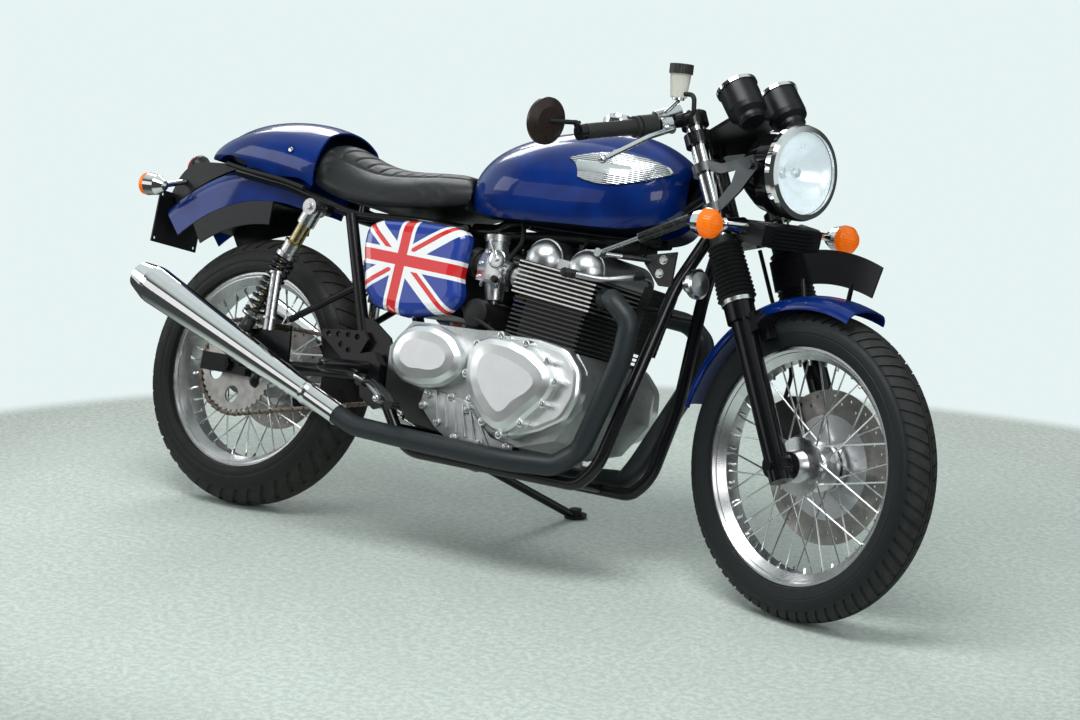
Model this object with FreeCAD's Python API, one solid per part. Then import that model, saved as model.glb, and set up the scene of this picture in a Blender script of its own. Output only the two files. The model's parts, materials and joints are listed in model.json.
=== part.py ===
"""Cafe racer motorcycle, parked on its side stand.

Everything is modelled on an upright bike: +X forward, +Y to the rider's left, +Z up, with
x = 0 at the rear axle.  The last step leans the whole bike onto its side stand, sets both
tyres on the floor and puts the origin at the middle of the floor under it.
Lengths are in millimetres and angles in degrees.
"""
import FreeCAD, Part
import math
import os

from FreeCAD import Placement, Rotation, Vector

# ---------------------------------------------------------------- driving dimensions
# Chassis geometry
WHEELBASE = 1490.0
RAKE = 26.7
FORK_OFFSET = 58.0
FORK_HALF_SPREAD = 95.0
LEAN = 17.0
REST_STEER = -16.0
STEER_LOCK = 30.0

# Wheels and tyres
FRONT_TYRE_R = 318.0
FRONT_TYRE_W = 100.0
FRONT_RIM_R = 243.5
FRONT_RIM_W = 76.0
FRONT_SPOKES = 36
REAR_TYRE_R = 318.0
REAR_TYRE_W = 130.0
REAR_RIM_R = 231.0
REAR_RIM_W = 102.0
REAR_SPOKES = 40
SPOKE_R = 2.0
RIM_WALL = 5.0
FRONT_DISC_R = 160.0
REAR_DISC_R = 127.5
DISC_T = 5.0
FRONT_DISC_Y = 52.0
REAR_DISC_Y = 76.0
AXLE_R = 9.5
RUN_GAP = 0.3

# Fork
FORK_TUBE_R = 20.5
FORK_LEG_R = 24.5
GAITER_START = 352.0
GAITER_END = 497.0
GAITER_R = 41.0
GAITER_RIBS = 13
LOWER_YOKE_AT = 520.0
UPPER_YOKE_AT = 722.0
YOKE_T = 26.0
FORK_TOP = 786.0
STEM_R = 15.0
HEAD_TUBE_R = 27.0

# Cockpit
BAR_R = 11.0
GRIP_R = 16.5
MIRROR_R = 49.0
GAUGE_R = 43.0
HEADLIGHT_R = 100.0
HEADLIGHT_DEPTH = 142.0

# Tank, seat and tail
TANK_FLOOR = 742.0
TANK_TOP = 968.0
TANK_HALF_W = 148.0
TANK_TUNNEL_HALF = 34.0
BADGE_T = 5.0
SEAT_GAP = 0.3
SEAT_HALF_W = 128.0
COWL_T = 5.0
PLATE_HOLE_R = 4.0
LIGHT_AT = (-322, 0, 789)
LIGHT_FACING = (-1, 0, 0.3)
FENDER_T = 4.0
REAR_FENDER_HALF_W = 78.0
REAR_FENDER_R = 497.0
FRONT_FENDER_R = 350.0
FRONT_FENDER_HALF_W = 57.0

# Engine
CYLINDER_TILT = 6.5
FIN_PITCH = 9.6
FIN_T = 3.4
BARREL_FINS = 9
HEAD_FINS = 8
FIN_LENGTH = 200.0
FIN_WIDTH = 290.0
CASE_HALF_W = 140.0
HEADER_R = 22.5

# Frame and running gear
CRADLE_R = 14.0
RAIL_R = 11.0
CRADLE_HALF_W = 112.0
SWING_PIVOT_X = 430.0
SWING_PIVOT_Z = 352.0
ARM_HALF_SPREAD = 116.0
SHOCK_Y = 150.0
SHOCK_TOP = (190.0, 706.0)
SHOCK_FOOT = (49.0, 397.0)
CANISTER_FOOT = (157.0, 424.0)
SPRING_TOP = 132.0
SPRING_END = 286.0
SHOCK_EYE_HALF = 21.7
CHAIN_Y = -84.0
CHAIN_PITCH = 15.9
SPROCKET_R = 108.0
GEARBOX_SPROCKET_R = 42.0

# Side stand
STAND_PIVOT = (560.0, 143.0, 204.0)
STAND_FOOT_X = 688.0
STAND_FOOT_Y = 424.0
STAND_LEG_R = 10.0
STAND_LUG_HALF = 13.0
STAND_FOLDED = (-1.0, 0.0, 0.02)

RIGHT = -1
LEFT = 1
SIDES = (RIGHT, LEFT)
Y_AXIS = Vector(0, 1, 0)
X_AXIS = Vector(1, 0, 0)
Z_AXIS = Vector(0, 0, 1)


# ---------------------------------------------------------------- small makers
def vec(point):
    """A point given as a tuple, as a vector."""
    return Vector(*point)


def rod(start, end, radius):
    """A solid cylinder from one point to another."""
    a = Vector(start)
    b = Vector(end)
    return Part.makeCylinder(radius, (b - a).Length, a, b - a)


def ring(start, end, outer, inner):
    """A straight tube from one point to another."""
    return rod(start, end, outer).cut(rod(start, end, inner))


def cone(start, end, r_start, r_end):
    """A solid cone frustum from one point to another."""
    a = Vector(start)
    b = Vector(end)
    return Part.makeCone(r_start, r_end, (b - a).Length, a, b - a)


def block(low, high):
    """An upright box between two opposite corners."""
    size = vec(high) - vec(low)
    return Part.makeBox(size.x, size.y, size.z, vec(low))


def joined(shapes):
    """One solid from several that overlap."""
    shapes = list(shapes)
    result = shapes[0].fuse(shapes[1:]) if len(shapes) > 1 else shapes[0]
    return result.removeSplitter()


def together(shapes):
    """Separate solids kept as one node."""
    solids = [solid for shape in shapes for solid in shape.Solids]
    return Part.makeCompound(solids)


def mirrored(shape):
    """The same shape on the other side of the bike."""
    return shape.mirror(Vector(0, 0, 0), Y_AXIS)


def pair(shape):
    """A right-hand shape with its left-hand twin."""
    return together([shape, mirrored(shape)])


class Outline:
    """A closed outline of lines and arcs, drawn with two coordinates in some plane."""

    def __init__(self, start, place):
        self.place = place
        self.first = start
        self.last = start
        self.edges = []

    def line(self, *ends):
        """Straight edges through the points given."""
        for end in ends:
            self.edges.append(Part.LineSegment(self.place(*self.last), self.place(*end)).toShape())
            self.last = end
        return self

    def arc(self, through, end):
        """A round edge through one point to another."""
        points = [self.place(*p) for p in (self.last, through, end)]
        self.edges.append(Part.Arc(*points).toShape())
        self.last = end
        return self

    def wire(self):
        """The outline, closed with a straight edge if it is open."""
        if self.last != self.first:
            self.line(self.first)
        return Part.Wire(self.edges)

    def face(self):
        """The flat face inside the outline."""
        return Part.Face(self.wire())


def side_plane(y):
    """Drawing plane seen from the side: (x, z)."""
    return lambda x, z: Vector(x, y, z)


def station_plane(x):
    """Drawing plane across the bike: (y, z)."""
    return lambda y, z: Vector(x, y, z)


def turned(points, centre, axis, start_angle=None, sweep=360.0):
    """A revolved solid.  Points are (distance from the axis, distance along it)."""
    axis = Vector(axis).normalize()
    out = Vector(0, 0, 1) if abs(axis.z) < 0.9 else Vector(1, 0, 0)
    out = (out - axis * out.dot(axis)).normalize()
    centre = Vector(centre)
    outline = Outline(points[0], lambda r, h: centre + out * r + axis * h)
    outline.line(*points[1:])
    face = outline.face()
    if start_angle:
        face.rotate(centre, axis, start_angle)
    return face.revolve(centre, axis, sweep)


def slab(outline_points, y_from, y_to):
    """A flat plate: an (x, z) polygon given a thickness across the bike."""
    outline = Outline(outline_points[0], side_plane(y_from)).line(*outline_points[1:])
    return outline.face().extrude(Vector(0, y_to - y_from, 0))


def softened(points, radius):
    """A closed outline whose corners are tangent arcs, each as round as its sides allow."""
    points = [Vector(p) for p in points]
    count = len(points)
    spans = []
    for k, corner in enumerate(points):
        before = points[k - 1] - corner
        after = points[(k + 1) % count] - corner
        half = before.getAngle(after) / 2
        reach = min(radius / math.tan(half), before.Length * 0.46, after.Length * 0.46)
        back = Vector(before).normalize()
        ahead = Vector(after).normalize()
        fitted = reach * math.tan(half)
        middle = corner + (back + ahead).normalize() * (fitted / math.sin(half) - fitted)
        spans.append((corner + back * reach, middle, corner + ahead * reach))
    edges = []
    for k, (start, middle, end) in enumerate(spans):
        edges.append(Part.Arc(start, middle, end).toShape())
        edges.append(Part.LineSegment(end, spans[(k + 1) % count][0]).toShape())
    return Part.Wire(edges)


def stepped_cover(outline, levels, radius, side):
    """A moulded cover through like outlines: each level is a distance from the middle plane and an inset."""
    xs = [p[0] for p in outline]
    zs = [p[1] for p in outline]
    centre = Vector((min(xs) + max(xs)) / 2, 0, (min(zs) + max(zs)) / 2)
    wires = []
    for y, inset in levels:
        points = []
        for x, z in outline:
            away = Vector(x, 0, z) - centre
            points.append(Vector(x, side * y, z) - Vector(away).normalize() * inset)
        wires.append(softened(points, radius))
    return Part.makeLoft(wires, True, True)


def rounded(points, radii):
    """A path of straight runs joined by tangent arcs, as a list of edges."""
    points = [Vector(p) for p in points]
    edges = []
    here = points[0]
    for before, corner, after, radius in zip(points, points[1:], points[2:], radii):
        back = (before - corner).normalize()
        ahead = (after - corner).normalize()
        half = back.getAngle(ahead) / 2
        reach = radius / math.tan(half)
        start = corner + back * reach
        end = corner + ahead * reach
        middle_way = (back + ahead).normalize()
        middle = corner + middle_way * (radius / math.sin(half) - radius)
        edges.append(Part.LineSegment(here, start).toShape())
        edges.append(Part.Arc(start, middle, end).toShape())
        here = end
    edges.append(Part.LineSegment(here, points[-1]).toShape())
    return edges


def bent_rod(points, bend_radii, radius):
    """A round bar or pipe along straight runs and bends."""
    path = Part.Wire(rounded(points, bend_radii))
    start = Vector(points[0])
    direction = Vector(points[1]) - start
    profile = Part.Wire(Part.Circle(start, direction, radius).toShape())
    return path.makePipeShell([profile], True, False)


def bolt(centre, direction, radius, height):
    """A hexagon bolt head standing on a face."""
    centre = Vector(centre)
    direction = Vector(direction).normalize()
    side = direction.cross(Z_AXIS if abs(direction.z) < 0.9 else X_AXIS).normalize()
    other = direction.cross(side)
    corners = []
    for k in range(6):
        angle = math.radians(60 * k)
        corners.append(centre + side * (radius * math.cos(angle)) + other * (radius * math.sin(angle)))
    face = Part.Face(Part.makePolygon(corners + corners[:1]))
    return face.extrude(direction * height)


# ---------------------------------------------------------------- steering geometry
RAKE_SIN = math.sin(math.radians(RAKE))
RAKE_COS = math.cos(math.radians(RAKE))
STEER_DIR = Vector(-RAKE_SIN, 0, RAKE_COS)
STEER_AHEAD = Vector(RAKE_COS, 0, RAKE_SIN)
REAR_AXLE = Vector(0, 0, 320)
FRONT_AXLE = REAR_AXLE + Vector(WHEELBASE, 0, 0)
STEER_POINT = FRONT_AXLE - STEER_AHEAD * FORK_OFFSET


def on_fork(up, ahead=0.0, y=0.0):
    """A point placed from the front axle: up the fork legs, ahead of them and across."""
    return FRONT_AXLE + STEER_DIR * up + STEER_AHEAD * ahead + Vector(0, y, 0)


# ---------------------------------------------------------------- wheels
def tyre(axle, radius, width, rim_r, rim_w):
    """A round-crowned tyre that sits between the rim's flanges."""
    half = width / 2
    seat = rim_w / 2 - RIM_WALL - RUN_GAP
    bead_r = rim_r - 11
    crown = radius - half
    shoulder = math.sqrt(half ** 2 - (crown - rim_r - 3) ** 2)
    plane = lambda y, r: Vector(axle.x, y, axle.z + r)
    outline = Outline((-seat, bead_r), plane)
    outline.line((-seat, rim_r + RUN_GAP), (-shoulder, rim_r + 3))
    outline.arc((-half, crown), (-half * math.cos(math.radians(40)), crown + half * math.sin(math.radians(40))))
    outline.arc((0, radius), (half * math.cos(math.radians(40)), crown + half * math.sin(math.radians(40))))
    outline.arc((half, crown), (shoulder, rim_r + 3))
    outline.line((seat, rim_r + RUN_GAP), (seat, bead_r))
    return outline.face().revolve(axle, Y_AXIS, 360)


def rim(axle, rim_r, rim_w):
    """A spoked wheel's rim: two flanges, bead seats and a dropped centre."""
    half = rim_w / 2
    seat_r = rim_r - 11 - RUN_GAP
    points = [(rim_r, -half), (rim_r, -half + RIM_WALL), (seat_r, -half + RIM_WALL),
              (seat_r, -half * 0.55), (seat_r - 9, -half * 0.4), (seat_r - 9, half * 0.4),
              (seat_r, half * 0.55), (seat_r, half - RIM_WALL), (rim_r, half - RIM_WALL),
              (rim_r, half), (rim_r - 5, half), (seat_r - 9 - RIM_WALL, half * 0.45),
              (seat_r - 9 - RIM_WALL, -half * 0.45), (rim_r - 5, -half)]
    return turned(points, axle, Y_AXIS)


def hub_and_spokes(axle, hub_points, flanges, rim_inner, count, bore_r):
    """A hub with its wire spokes.  Flanges are (radius, y) of the spoke holes, right then left."""
    hub = turned([(bore_r, hub_points[0][1])] + hub_points + [(bore_r, hub_points[-1][1])], axle, Y_AXIS)
    pieces = [hub]
    for k in range(count):
        flange_r, flange_y = flanges[k % 2]
        lead = 38 if (k // 2) % 2 else -38
        rim_angle = math.radians(360.0 * k / count)
        hub_angle = rim_angle + math.radians(lead)
        start = axle + Vector(flange_r * math.cos(hub_angle), flange_y, flange_r * math.sin(hub_angle))
        end = axle + Vector(rim_inner * math.cos(rim_angle), 6 * (-1) ** k, rim_inner * math.sin(rim_angle))
        pieces.append(bolt(start, end - start, SPOKE_R, (end - start).Length))
    return joined(pieces)


def disc(axle, y, radius, inner_r, holes):
    """A drilled brake disc with its holes on two circles."""
    plate = turned([(inner_r, y), (radius, y), (radius, y + DISC_T), (inner_r, y + DISC_T)], axle, Y_AXIS)
    cuts = []
    for k in range(holes):
        angle = math.radians(360.0 * k / holes)
        for r in (radius - 12, radius - 26):
            centre = axle + Vector(r * math.cos(angle), y - 1, r * math.sin(angle))
            cuts.append(Part.makeCylinder(3.5, DISC_T + 2, centre, Y_AXIS))
            angle += math.radians(180.0 / holes)
    return plate.cut(cuts)


FRONT_HUB = [(24, -62), (30, -62), (34, -38), (60, -36), (60, -26), (34, -22), (30, 20), (52, 26),
             (52, 36), (34, 38), (34, 46), (50, 47),
             (50, FRONT_DISC_Y - RUN_GAP)]
REAR_HUB = [(26, -66), (62, -62), (62, -52), (36, -46), (32, 40), (56, 46), (56, 56), (30, 60), (30, 68),
           (48, 69), (48, REAR_DISC_Y - RUN_GAP)]


def front_wheel_nodes():
    """Tyre, rim, hub with spokes, and the brake disc on the left."""
    inner = FRONT_RIM_R - 11 - RUN_GAP - 9 - RIM_WALL
    hub = hub_and_spokes(FRONT_AXLE, FRONT_HUB, ((52, -31), (45, 31)), inner + 2, FRONT_SPOKES, AXLE_R + RUN_GAP)
    rim_shape = rim(FRONT_AXLE, FRONT_RIM_R, FRONT_RIM_W)
    low = FRONT_DISC_Y
    carrier = turned([(36, low), (108, low), (108, low + 4), (36, low + 4)], FRONT_AXLE, Y_AXIS)
    return {
        "front_tyre": tyre(FRONT_AXLE, FRONT_TYRE_R, FRONT_TYRE_W, FRONT_RIM_R, FRONT_RIM_W),
        "front_wheel": joined([rim_shape, hub]),
        "front_disc": joined([disc(FRONT_AXLE, low, FRONT_DISC_R, 106, 20), carrier]),
    }


def rear_wheel_nodes():
    """Tyre, rim, hub with spokes, the sprocket on the right and the disc on the left."""
    inner = REAR_RIM_R - 11 - RUN_GAP - 9 - RIM_WALL
    hub = hub_and_spokes(REAR_AXLE, REAR_HUB, ((54, -57), (49, 51)), inner + 2, REAR_SPOKES, AXLE_R + RUN_GAP)
    rim_shape = rim(REAR_AXLE, REAR_RIM_R, REAR_RIM_W)
    return {
        "rear_tyre": tyre(REAR_AXLE, REAR_TYRE_R, REAR_TYRE_W, REAR_RIM_R, REAR_RIM_W),
        "rear_wheel": joined([rim_shape, hub]),
        "rear_disc": disc(REAR_AXLE, REAR_DISC_Y, REAR_DISC_R, 34, 16),
        "rear_sprocket": rear_sprocket(),
    }


def rear_sprocket():
    """The chain wheel: a plate with five windows and a toothed edge inside the chain."""
    teeth = 42
    points = []
    for k in range(teeth):
        for part, r in ((0.0, SPROCKET_R - 7), (0.35, SPROCKET_R - 1), (0.65, SPROCKET_R - 1)):
            angle = 2 * math.pi * (k + part) / teeth
            points.append((REAR_AXLE.x + r * math.cos(angle), REAR_AXLE.z + r * math.sin(angle)))
    plate = slab(points, CHAIN_Y - 3, CHAIN_Y + 3)
    cuts = [Part.makeCylinder(AXLE_R + RUN_GAP + 8, 8, REAR_AXLE + Vector(0, CHAIN_Y - 4, 0), Y_AXIS)]
    for k in range(5):
        window = Part.makeCylinder(20, 8, REAR_AXLE + Vector(66, CHAIN_Y - 4, 0), Y_AXIS)
        window.rotate(REAR_AXLE, Y_AXIS, 72 * k + 20)
        cuts.append(window)
    boss = ring(REAR_AXLE + Vector(0, CHAIN_Y + 3, 0), REAR_AXLE + Vector(0, -66.3, 0), 40, AXLE_R + RUN_GAP + 8)
    return joined([plate.cut(cuts), boss])


# ---------------------------------------------------------------- fork and cockpit
def fork_legs():
    """The two black lower legs on the front axle, with the lugs that hold the mudguard."""
    axle_reach = FORK_HALF_SPREAD + 30
    axle = rod(FRONT_AXLE + Vector(0, -axle_reach, 0), FRONT_AXLE + Vector(0, axle_reach, 0), AXLE_R)
    legs = [axle]
    for side in SIDES:
        y = side * FORK_HALF_SPREAD
        leg = rod(on_fork(-34, 0, y), on_fork(GAITER_START - 22, 0, y), FORK_LEG_R)
        head = rod(on_fork(GAITER_START - 40, 0, y), on_fork(GAITER_START - SEAT_GAP, 0, y), 32)
        lug = block((-12, -16, -20), (22, 16, 20))
        lug.Placement = Placement(on_fork(GAITER_START - 52, 22, y * 0.93), Rotation(Y_AXIS, -RAKE))
        collar = rod(FRONT_AXLE + Vector(0, y - 17, 0), FRONT_AXLE + Vector(0, y + 17, 0), 27)
        legs += [leg, head, lug, collar, fender_stay(side)]
    return joined(legs)


def fender_stay(side):
    """The plate between a fork leg and the side of the front mudguard."""
    corners = [(318, 20), (300, 50), (258, 50), (262, 24)]
    points = [(on_fork(up, ahead).x, on_fork(up, ahead).z) for up, ahead in corners]
    return slab(points, side * (FRONT_FENDER_HALF_W + SEAT_GAP), side * (FORK_HALF_SPREAD - 14))


def fork_tubes():
    """The chromed stanchions, from inside the gaiters to above the top yoke."""
    shapes = []
    for side in SIDES:
        y = side * FORK_HALF_SPREAD
        shapes.append(rod(on_fork(GAITER_START, 0, y), on_fork(FORK_TOP, 0, y), FORK_TUBE_R))
    return together(shapes)


def gaiter(y):
    """A ribbed rubber boot around a stanchion."""
    length = GAITER_END - GAITER_START
    inner = FORK_TUBE_R + SEAT_GAP
    points = [(inner, 0), (34, 0), (34, 8)]
    step = (length - 22) / GAITER_RIBS
    for k in range(GAITER_RIBS):
        bulge = GAITER_R - 5 * k / GAITER_RIBS
        points.append((bulge, 8 + step * (k + 0.35)))
        points.append((bulge - 6, 8 + step * (k + 0.85)))
    points += [(29, length - 12), (29, length), (inner, length)]
    return turned(points, on_fork(GAITER_START, 0, y), STEER_DIR)


def yokes():
    """Lower and upper yokes on the steering stem, clear of the head tube."""
    shapes = []
    for at in (LOWER_YOKE_AT, UPPER_YOKE_AT):
        low = at - YOKE_T / 2
        high = at + YOKE_T / 2
        arms = [rod(on_fork(low, -FORK_OFFSET), on_fork(high, -FORK_OFFSET), HEAD_TUBE_R + 4)]
        for side in SIDES:
            y = side * FORK_HALF_SPREAD
            clamp = rod(on_fork(low, 0, y), on_fork(high, 0, y), FORK_TUBE_R + 9)
            bar = block((-22, -FORK_HALF_SPREAD, -YOKE_T / 2), (22, 0, YOKE_T / 2))
            bar.Placement = Placement(on_fork(at, 0, y), Rotation(STEER_DIR, 0))
            arms.append(clamp)
            corners = [on_fork(low, 20, y), on_fork(low, -20, y), on_fork(low, -FORK_OFFSET - 24, y * 0.1),
                       on_fork(low, -FORK_OFFSET + 34, y * 0.1)]
            web = Part.Face(Part.makePolygon(corners + corners[:1]))
            arms.append(web.extrude(STEER_DIR * YOKE_T))
        shape = joined(arms)
        for side in SIDES:
            y = side * FORK_HALF_SPREAD
            shape = shape.cut(rod(on_fork(low - 1, 0, y), on_fork(high + 1, 0, y), FORK_TUBE_R + SEAT_GAP))
        shapes.append(shape)
    stem = rod(on_fork(LOWER_YOKE_AT, -FORK_OFFSET), on_fork(UPPER_YOKE_AT + 20, -FORK_OFFSET), STEM_R)
    return joined(shapes + [stem])


def headlight():
    """Shell, bezel and domed lens of the round headlight."""
    centre = on_fork(578, 177.5)
    facing = Vector(math.cos(math.radians(2)), 0, math.sin(math.radians(2)))
    shell = turned([(0, -HEADLIGHT_DEPTH), (30, -HEADLIGHT_DEPTH), (60, -HEADLIGHT_DEPTH + 16),
                    (82, -HEADLIGHT_DEPTH + 48), (92, -60), (94, -22), (90, -22), (88, -60),
                    (78, -HEADLIGHT_DEPTH + 52), (56, -HEADLIGHT_DEPTH + 22), (28, -HEADLIGHT_DEPTH + 6),
                    (0, -HEADLIGHT_DEPTH + 6)], centre, facing)
    bezel = turned([(86, 4), (HEADLIGHT_R - 3, 2), (HEADLIGHT_R, -8), (HEADLIGHT_R - 1, -21.5), (92, -21.5),
                    (92, -6), (86, -2)], centre, facing)
    lens = turned([(0, 22), (40, 18), (70, 10), (85.7, 1), (85.7, -3), (68, 4), (40, 11), (0, 15)], centre, facing)
    return shell, bezel, lens


def headlight_ears():
    """Slotted Y-shaped plates from the fork to the sides of the headlight."""
    ears = []
    for side in SIDES:
        y0 = side * 104
        y1 = side * 110
        to_side = lambda up, ahead: (on_fork(up, ahead).x, on_fork(up, ahead).z)
        outer = [to_side(640, 24), to_side(664, 24), to_side(640, 60), to_side(622, 146), to_side(590, 146),
                 to_side(566, 90), to_side(548, 24), to_side(572, 24), to_side(590, 70),
                 to_side(612, 92), to_side(622, 50)]
        plate = slab(outer, y0, y1)
        pin = rod(on_fork(604.8, 132.9, side * 93.6), on_fork(604.8, 132.9, side * 118), 9)
        clamps = []
        for at in (562, 654):
            clamp = ring(on_fork(at - 10, 0, side * FORK_HALF_SPREAD), on_fork(at + 10, 0, side * FORK_HALF_SPREAD),
                         FORK_TUBE_R + 8, FORK_TUBE_R + SEAT_GAP)
            clamps.append(clamp)
        ears.append(joined([plate, pin] + clamps))
    return together(ears)


def gauges():
    """Twin instrument cups on a joined bracket above the top yoke."""
    cups = []
    bezels = []
    axis = (on_fork(799, 106.5) - on_fork(714, 126.4)).normalize()
    for side in SIDES:
        base = on_fork(714, 126.4, side * 62)
        cups.append(turned([(0, -6), (26, -6), (30, 0), (30, 8), (40, 18), (GAUGE_R - 1, 30), (GAUGE_R - 1, 80),
                            (0, 80)], base, axis))
        bezels.append(turned([(0, 80.3), (GAUGE_R + 2, 80.3), (GAUGE_R + 2, 88), (GAUGE_R - 3, 91), (GAUGE_R - 5, 88),
                              (0, 88)], base, axis))
    bracket = block((-78, -70, -4), (60, 70, 4))
    bracket.Placement = Placement(on_fork(UPPER_YOKE_AT + YOKE_T / 2 + 4.3, 40), Rotation(Y_AXIS, -RAKE))
    return joined(cups + [bracket]), together(bezels)


BOTTLE_FOOT = on_fork(788, 47.2, -180)


def bar_point(y, lift=0.0, ahead=0.0):
    """A point on the right or left clip-on bar at a distance across the bike."""
    reach = abs(y) - FORK_HALF_SPREAD
    return on_fork(766 - reach * 0.108 + lift, 1 - reach * 0.2275 + ahead, y)


def handlebars():
    """Clip-on bars with the clamps round the fork tubes and the stems of the bar-end mirrors."""
    shapes = []
    for side in SIDES:
        y = side * FORK_HALF_SPREAD
        clamp = ring(on_fork(752, 0, y), on_fork(780, 0, y), FORK_TUBE_R + 9, FORK_TUBE_R + SEAT_GAP)
        bar = rod(bar_point(side * 118), bar_point(side * 372), BAR_R)
        bar_end = rod(bar_point(side * 366), bar_point(side * 380), 17)
        if side == LEFT:
            shapes.append(joined([clamp, bar, bar_end]))
            continue
        top = bar_point(side * 378, 22, 0)
        arm = rod(bar_point(side * 375, 0, 0), top, 8)
        stem = rod(top, mirror_centre(side) + Vector(6, 0, 0), 5)
        shapes.append(joined([clamp, bar, bar_end, arm, stem]).cut(mirror_head(side, SEAT_GAP)))
    return together(shapes)


def mirror_centre(side):
    """The middle of a mirror's glass."""
    return on_fork(763, -85, side * 440)


def mirror_head(side, grow=0.0):
    """A round mirror in its dished back."""
    points = [(0, -7 - grow), (MIRROR_R + grow, -7 - grow), (MIRROR_R + grow, 0), (30, 8 + grow), (0, 9 + grow)]
    return turned(points, mirror_centre(side), (1, 0, -0.1))


def grips():
    """Rubber grips with their inner flanges."""
    shapes = []
    for side in SIDES:
        sleeve = ring(bar_point(side * 246), bar_point(side * 364), GRIP_R, BAR_R + 0.3)
        flange = ring(bar_point(side * 238), bar_point(side * 246), GRIP_R + 6, BAR_R + 0.3)
        shapes.append(joined([sleeve, flange]))
    return together(shapes)


def switchgear():
    """Switch cubes next to the grips."""
    shapes = []
    for side in SIDES:
        cube = rod(bar_point(side * 196), bar_point(side * 234), 23)
        shapes.append(cube.cut(rod(bar_point(side * 190), bar_point(side * 240), BAR_R + 0.3)))
    return together(shapes)


def controls():
    """Brake and clutch levers with their perches, and the brake master cylinder."""
    shapes = []
    for side in SIDES:
        perch = rod(bar_point(side * 160), bar_point(side * 188), 20)
        arm = rod(bar_point(side * 174, -12, 10), bar_point(side * 180, -24, 28), 10)
        lever = bent_rod([bar_point(side * 180, -24, 28), bar_point(side * 240, -36, 30),
                          bar_point(side * 345, -68, 10)], [60], 6)
        ball = Part.makeSphere(9, bar_point(side * 346, -68, 10))
        pieces = [perch, arm, lever, ball]
        if side == RIGHT:
            pieces.append(rod(bar_point(side * 140, 22, 16), bar_point(side * 196, 14, 8), 13))
            pieces.append(rod(bar_point(side * 168, 10, 4), bar_point(side * 168, 20, 12), 12))
            seat = BOTTLE_FOOT - Vector(0, 0, SEAT_GAP)
            pieces.append(rod(bar_point(-180, 16, 10), seat - Vector(0, 0, 6), 5))
            pieces.append(rod(seat - Vector(0, 0, 5), seat, 13))
        shapes.append(joined(pieces).cut(rod(bar_point(side * 110), bar_point(side * 240), BAR_R + 0.3)))
    return together(shapes)


def reservoir():
    """The brake fluid bottle and its cap."""
    low = BOTTLE_FOOT
    bottle = cone(low, low + Vector(0, 0, 49), 17, 22)
    cap = rod(low + Vector(0, 0, 49 + SEAT_GAP), low + Vector(0, 0, 69), 25)
    return bottle, cap


def mirrors():
    """The bar-end mirror, which only the right bar has."""
    return mirror_head(RIGHT)


def brake_hoses():
    """The brake bottle's hose loop and the hose from the lower yoke to the caliper."""
    low = BOTTLE_FOOT + Vector(0, 0, 8)
    loop = bent_rod([low + Vector(18.6, 0, 0), low + Vector(46, 0, -2), low + Vector(50, 0, -44), low + Vector(20, 0, -48)],
                    [14, 14], 5)
    banjo = rod(low + Vector(24, 0, -46.4), low + Vector(4, 0, -49.6), 7)
    line = bent_rod([on_fork(LOWER_YOKE_AT - YOKE_T / 2 - SEAT_GAP, -52, 74), on_fork(400, -54, 76), on_fork(230, -62, 92),
                     on_fork(170.0, -78, 62)], [90, 60], 4.5)
    return together([joined([loop, banjo]), line])


def front_indicators():
    """Bullet indicators with lenses on rubber-booted stems."""
    bodies = []
    lenses = []
    for side in SIDES:
        centre = on_fork(491.8, 70.4, side * 209)
        ahead = Vector(1, 0, 0)
        body = turned([(0, -52), (14, -46), (26, -26), (31, -2), (0, -2)], centre, ahead)
        stem = rod(centre + Vector(-24, side * -22, 2), centre + Vector(-18, side * -96, 4), 8)
        boot = cone(centre + Vector(-20, side * -68, 3.5), centre + Vector(-18, side * -120, 4), 12, 18)
        bodies.append(joined([body, stem, boot]))
        lenses.append(turned([(0, -1.7), (31.5, -1.7), (30, 12), (20, 24), (0, 29)], centre, ahead))
    return together(bodies), together(lenses)


def regulator():
    """The finned regulator box under the headlight, on its bracket to the lower yoke."""
    core = block((-36, -88, -22), (36, 88, 22))
    fins = [block((-40, -60, z), (44, 60, z + 3)) for z in (-24, -16, -8, 0, 8, 16)]
    box = joined([core] + fins)
    box.Placement = Placement(on_fork(482, 72), Rotation(Y_AXIS, 8))
    shelf = block((-96, -22, -3), (10, 22, 3))
    shelf.Placement = Placement(on_fork(LOWER_YOKE_AT - YOKE_T / 2 - 3 - SEAT_GAP, 62), Rotation(Y_AXIS, -RAKE))
    return joined([box, shelf])


def front_fender():
    """The short front mudguard with side stays to the fork legs."""
    half = FRONT_FENDER_HALF_W
    plane = lambda y, r: Vector(FRONT_AXLE.x, y, FRONT_AXLE.z + r)
    outer = FRONT_FENDER_R
    shoulder = half - 14
    inner = half - FENDER_T
    inner_shoulder = shoulder - 1.5
    outline = Outline((-half, outer - 32), plane)
    outline.arc((-half + 4, outer - 17), (-shoulder, outer - 8)).arc((0, outer), (shoulder, outer - 8))
    outline.arc((half - 4, outer - 17), (half, outer - 32)).line((inner, outer - 32))
    outline.arc((inner - 3, outer - 19), (inner_shoulder, outer - 8 - FENDER_T)).arc((0, outer - FENDER_T),
                                                                                     (-inner_shoulder, outer - 8 - FENDER_T))
    outline.arc((3 - inner, outer - 19), (-inner, outer - 32))
    face = outline.face()
    face.rotate(FRONT_AXLE, Y_AXIS, 19.5)
    return face.revolve(FRONT_AXLE, Y_AXIS, -94.5)


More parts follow.
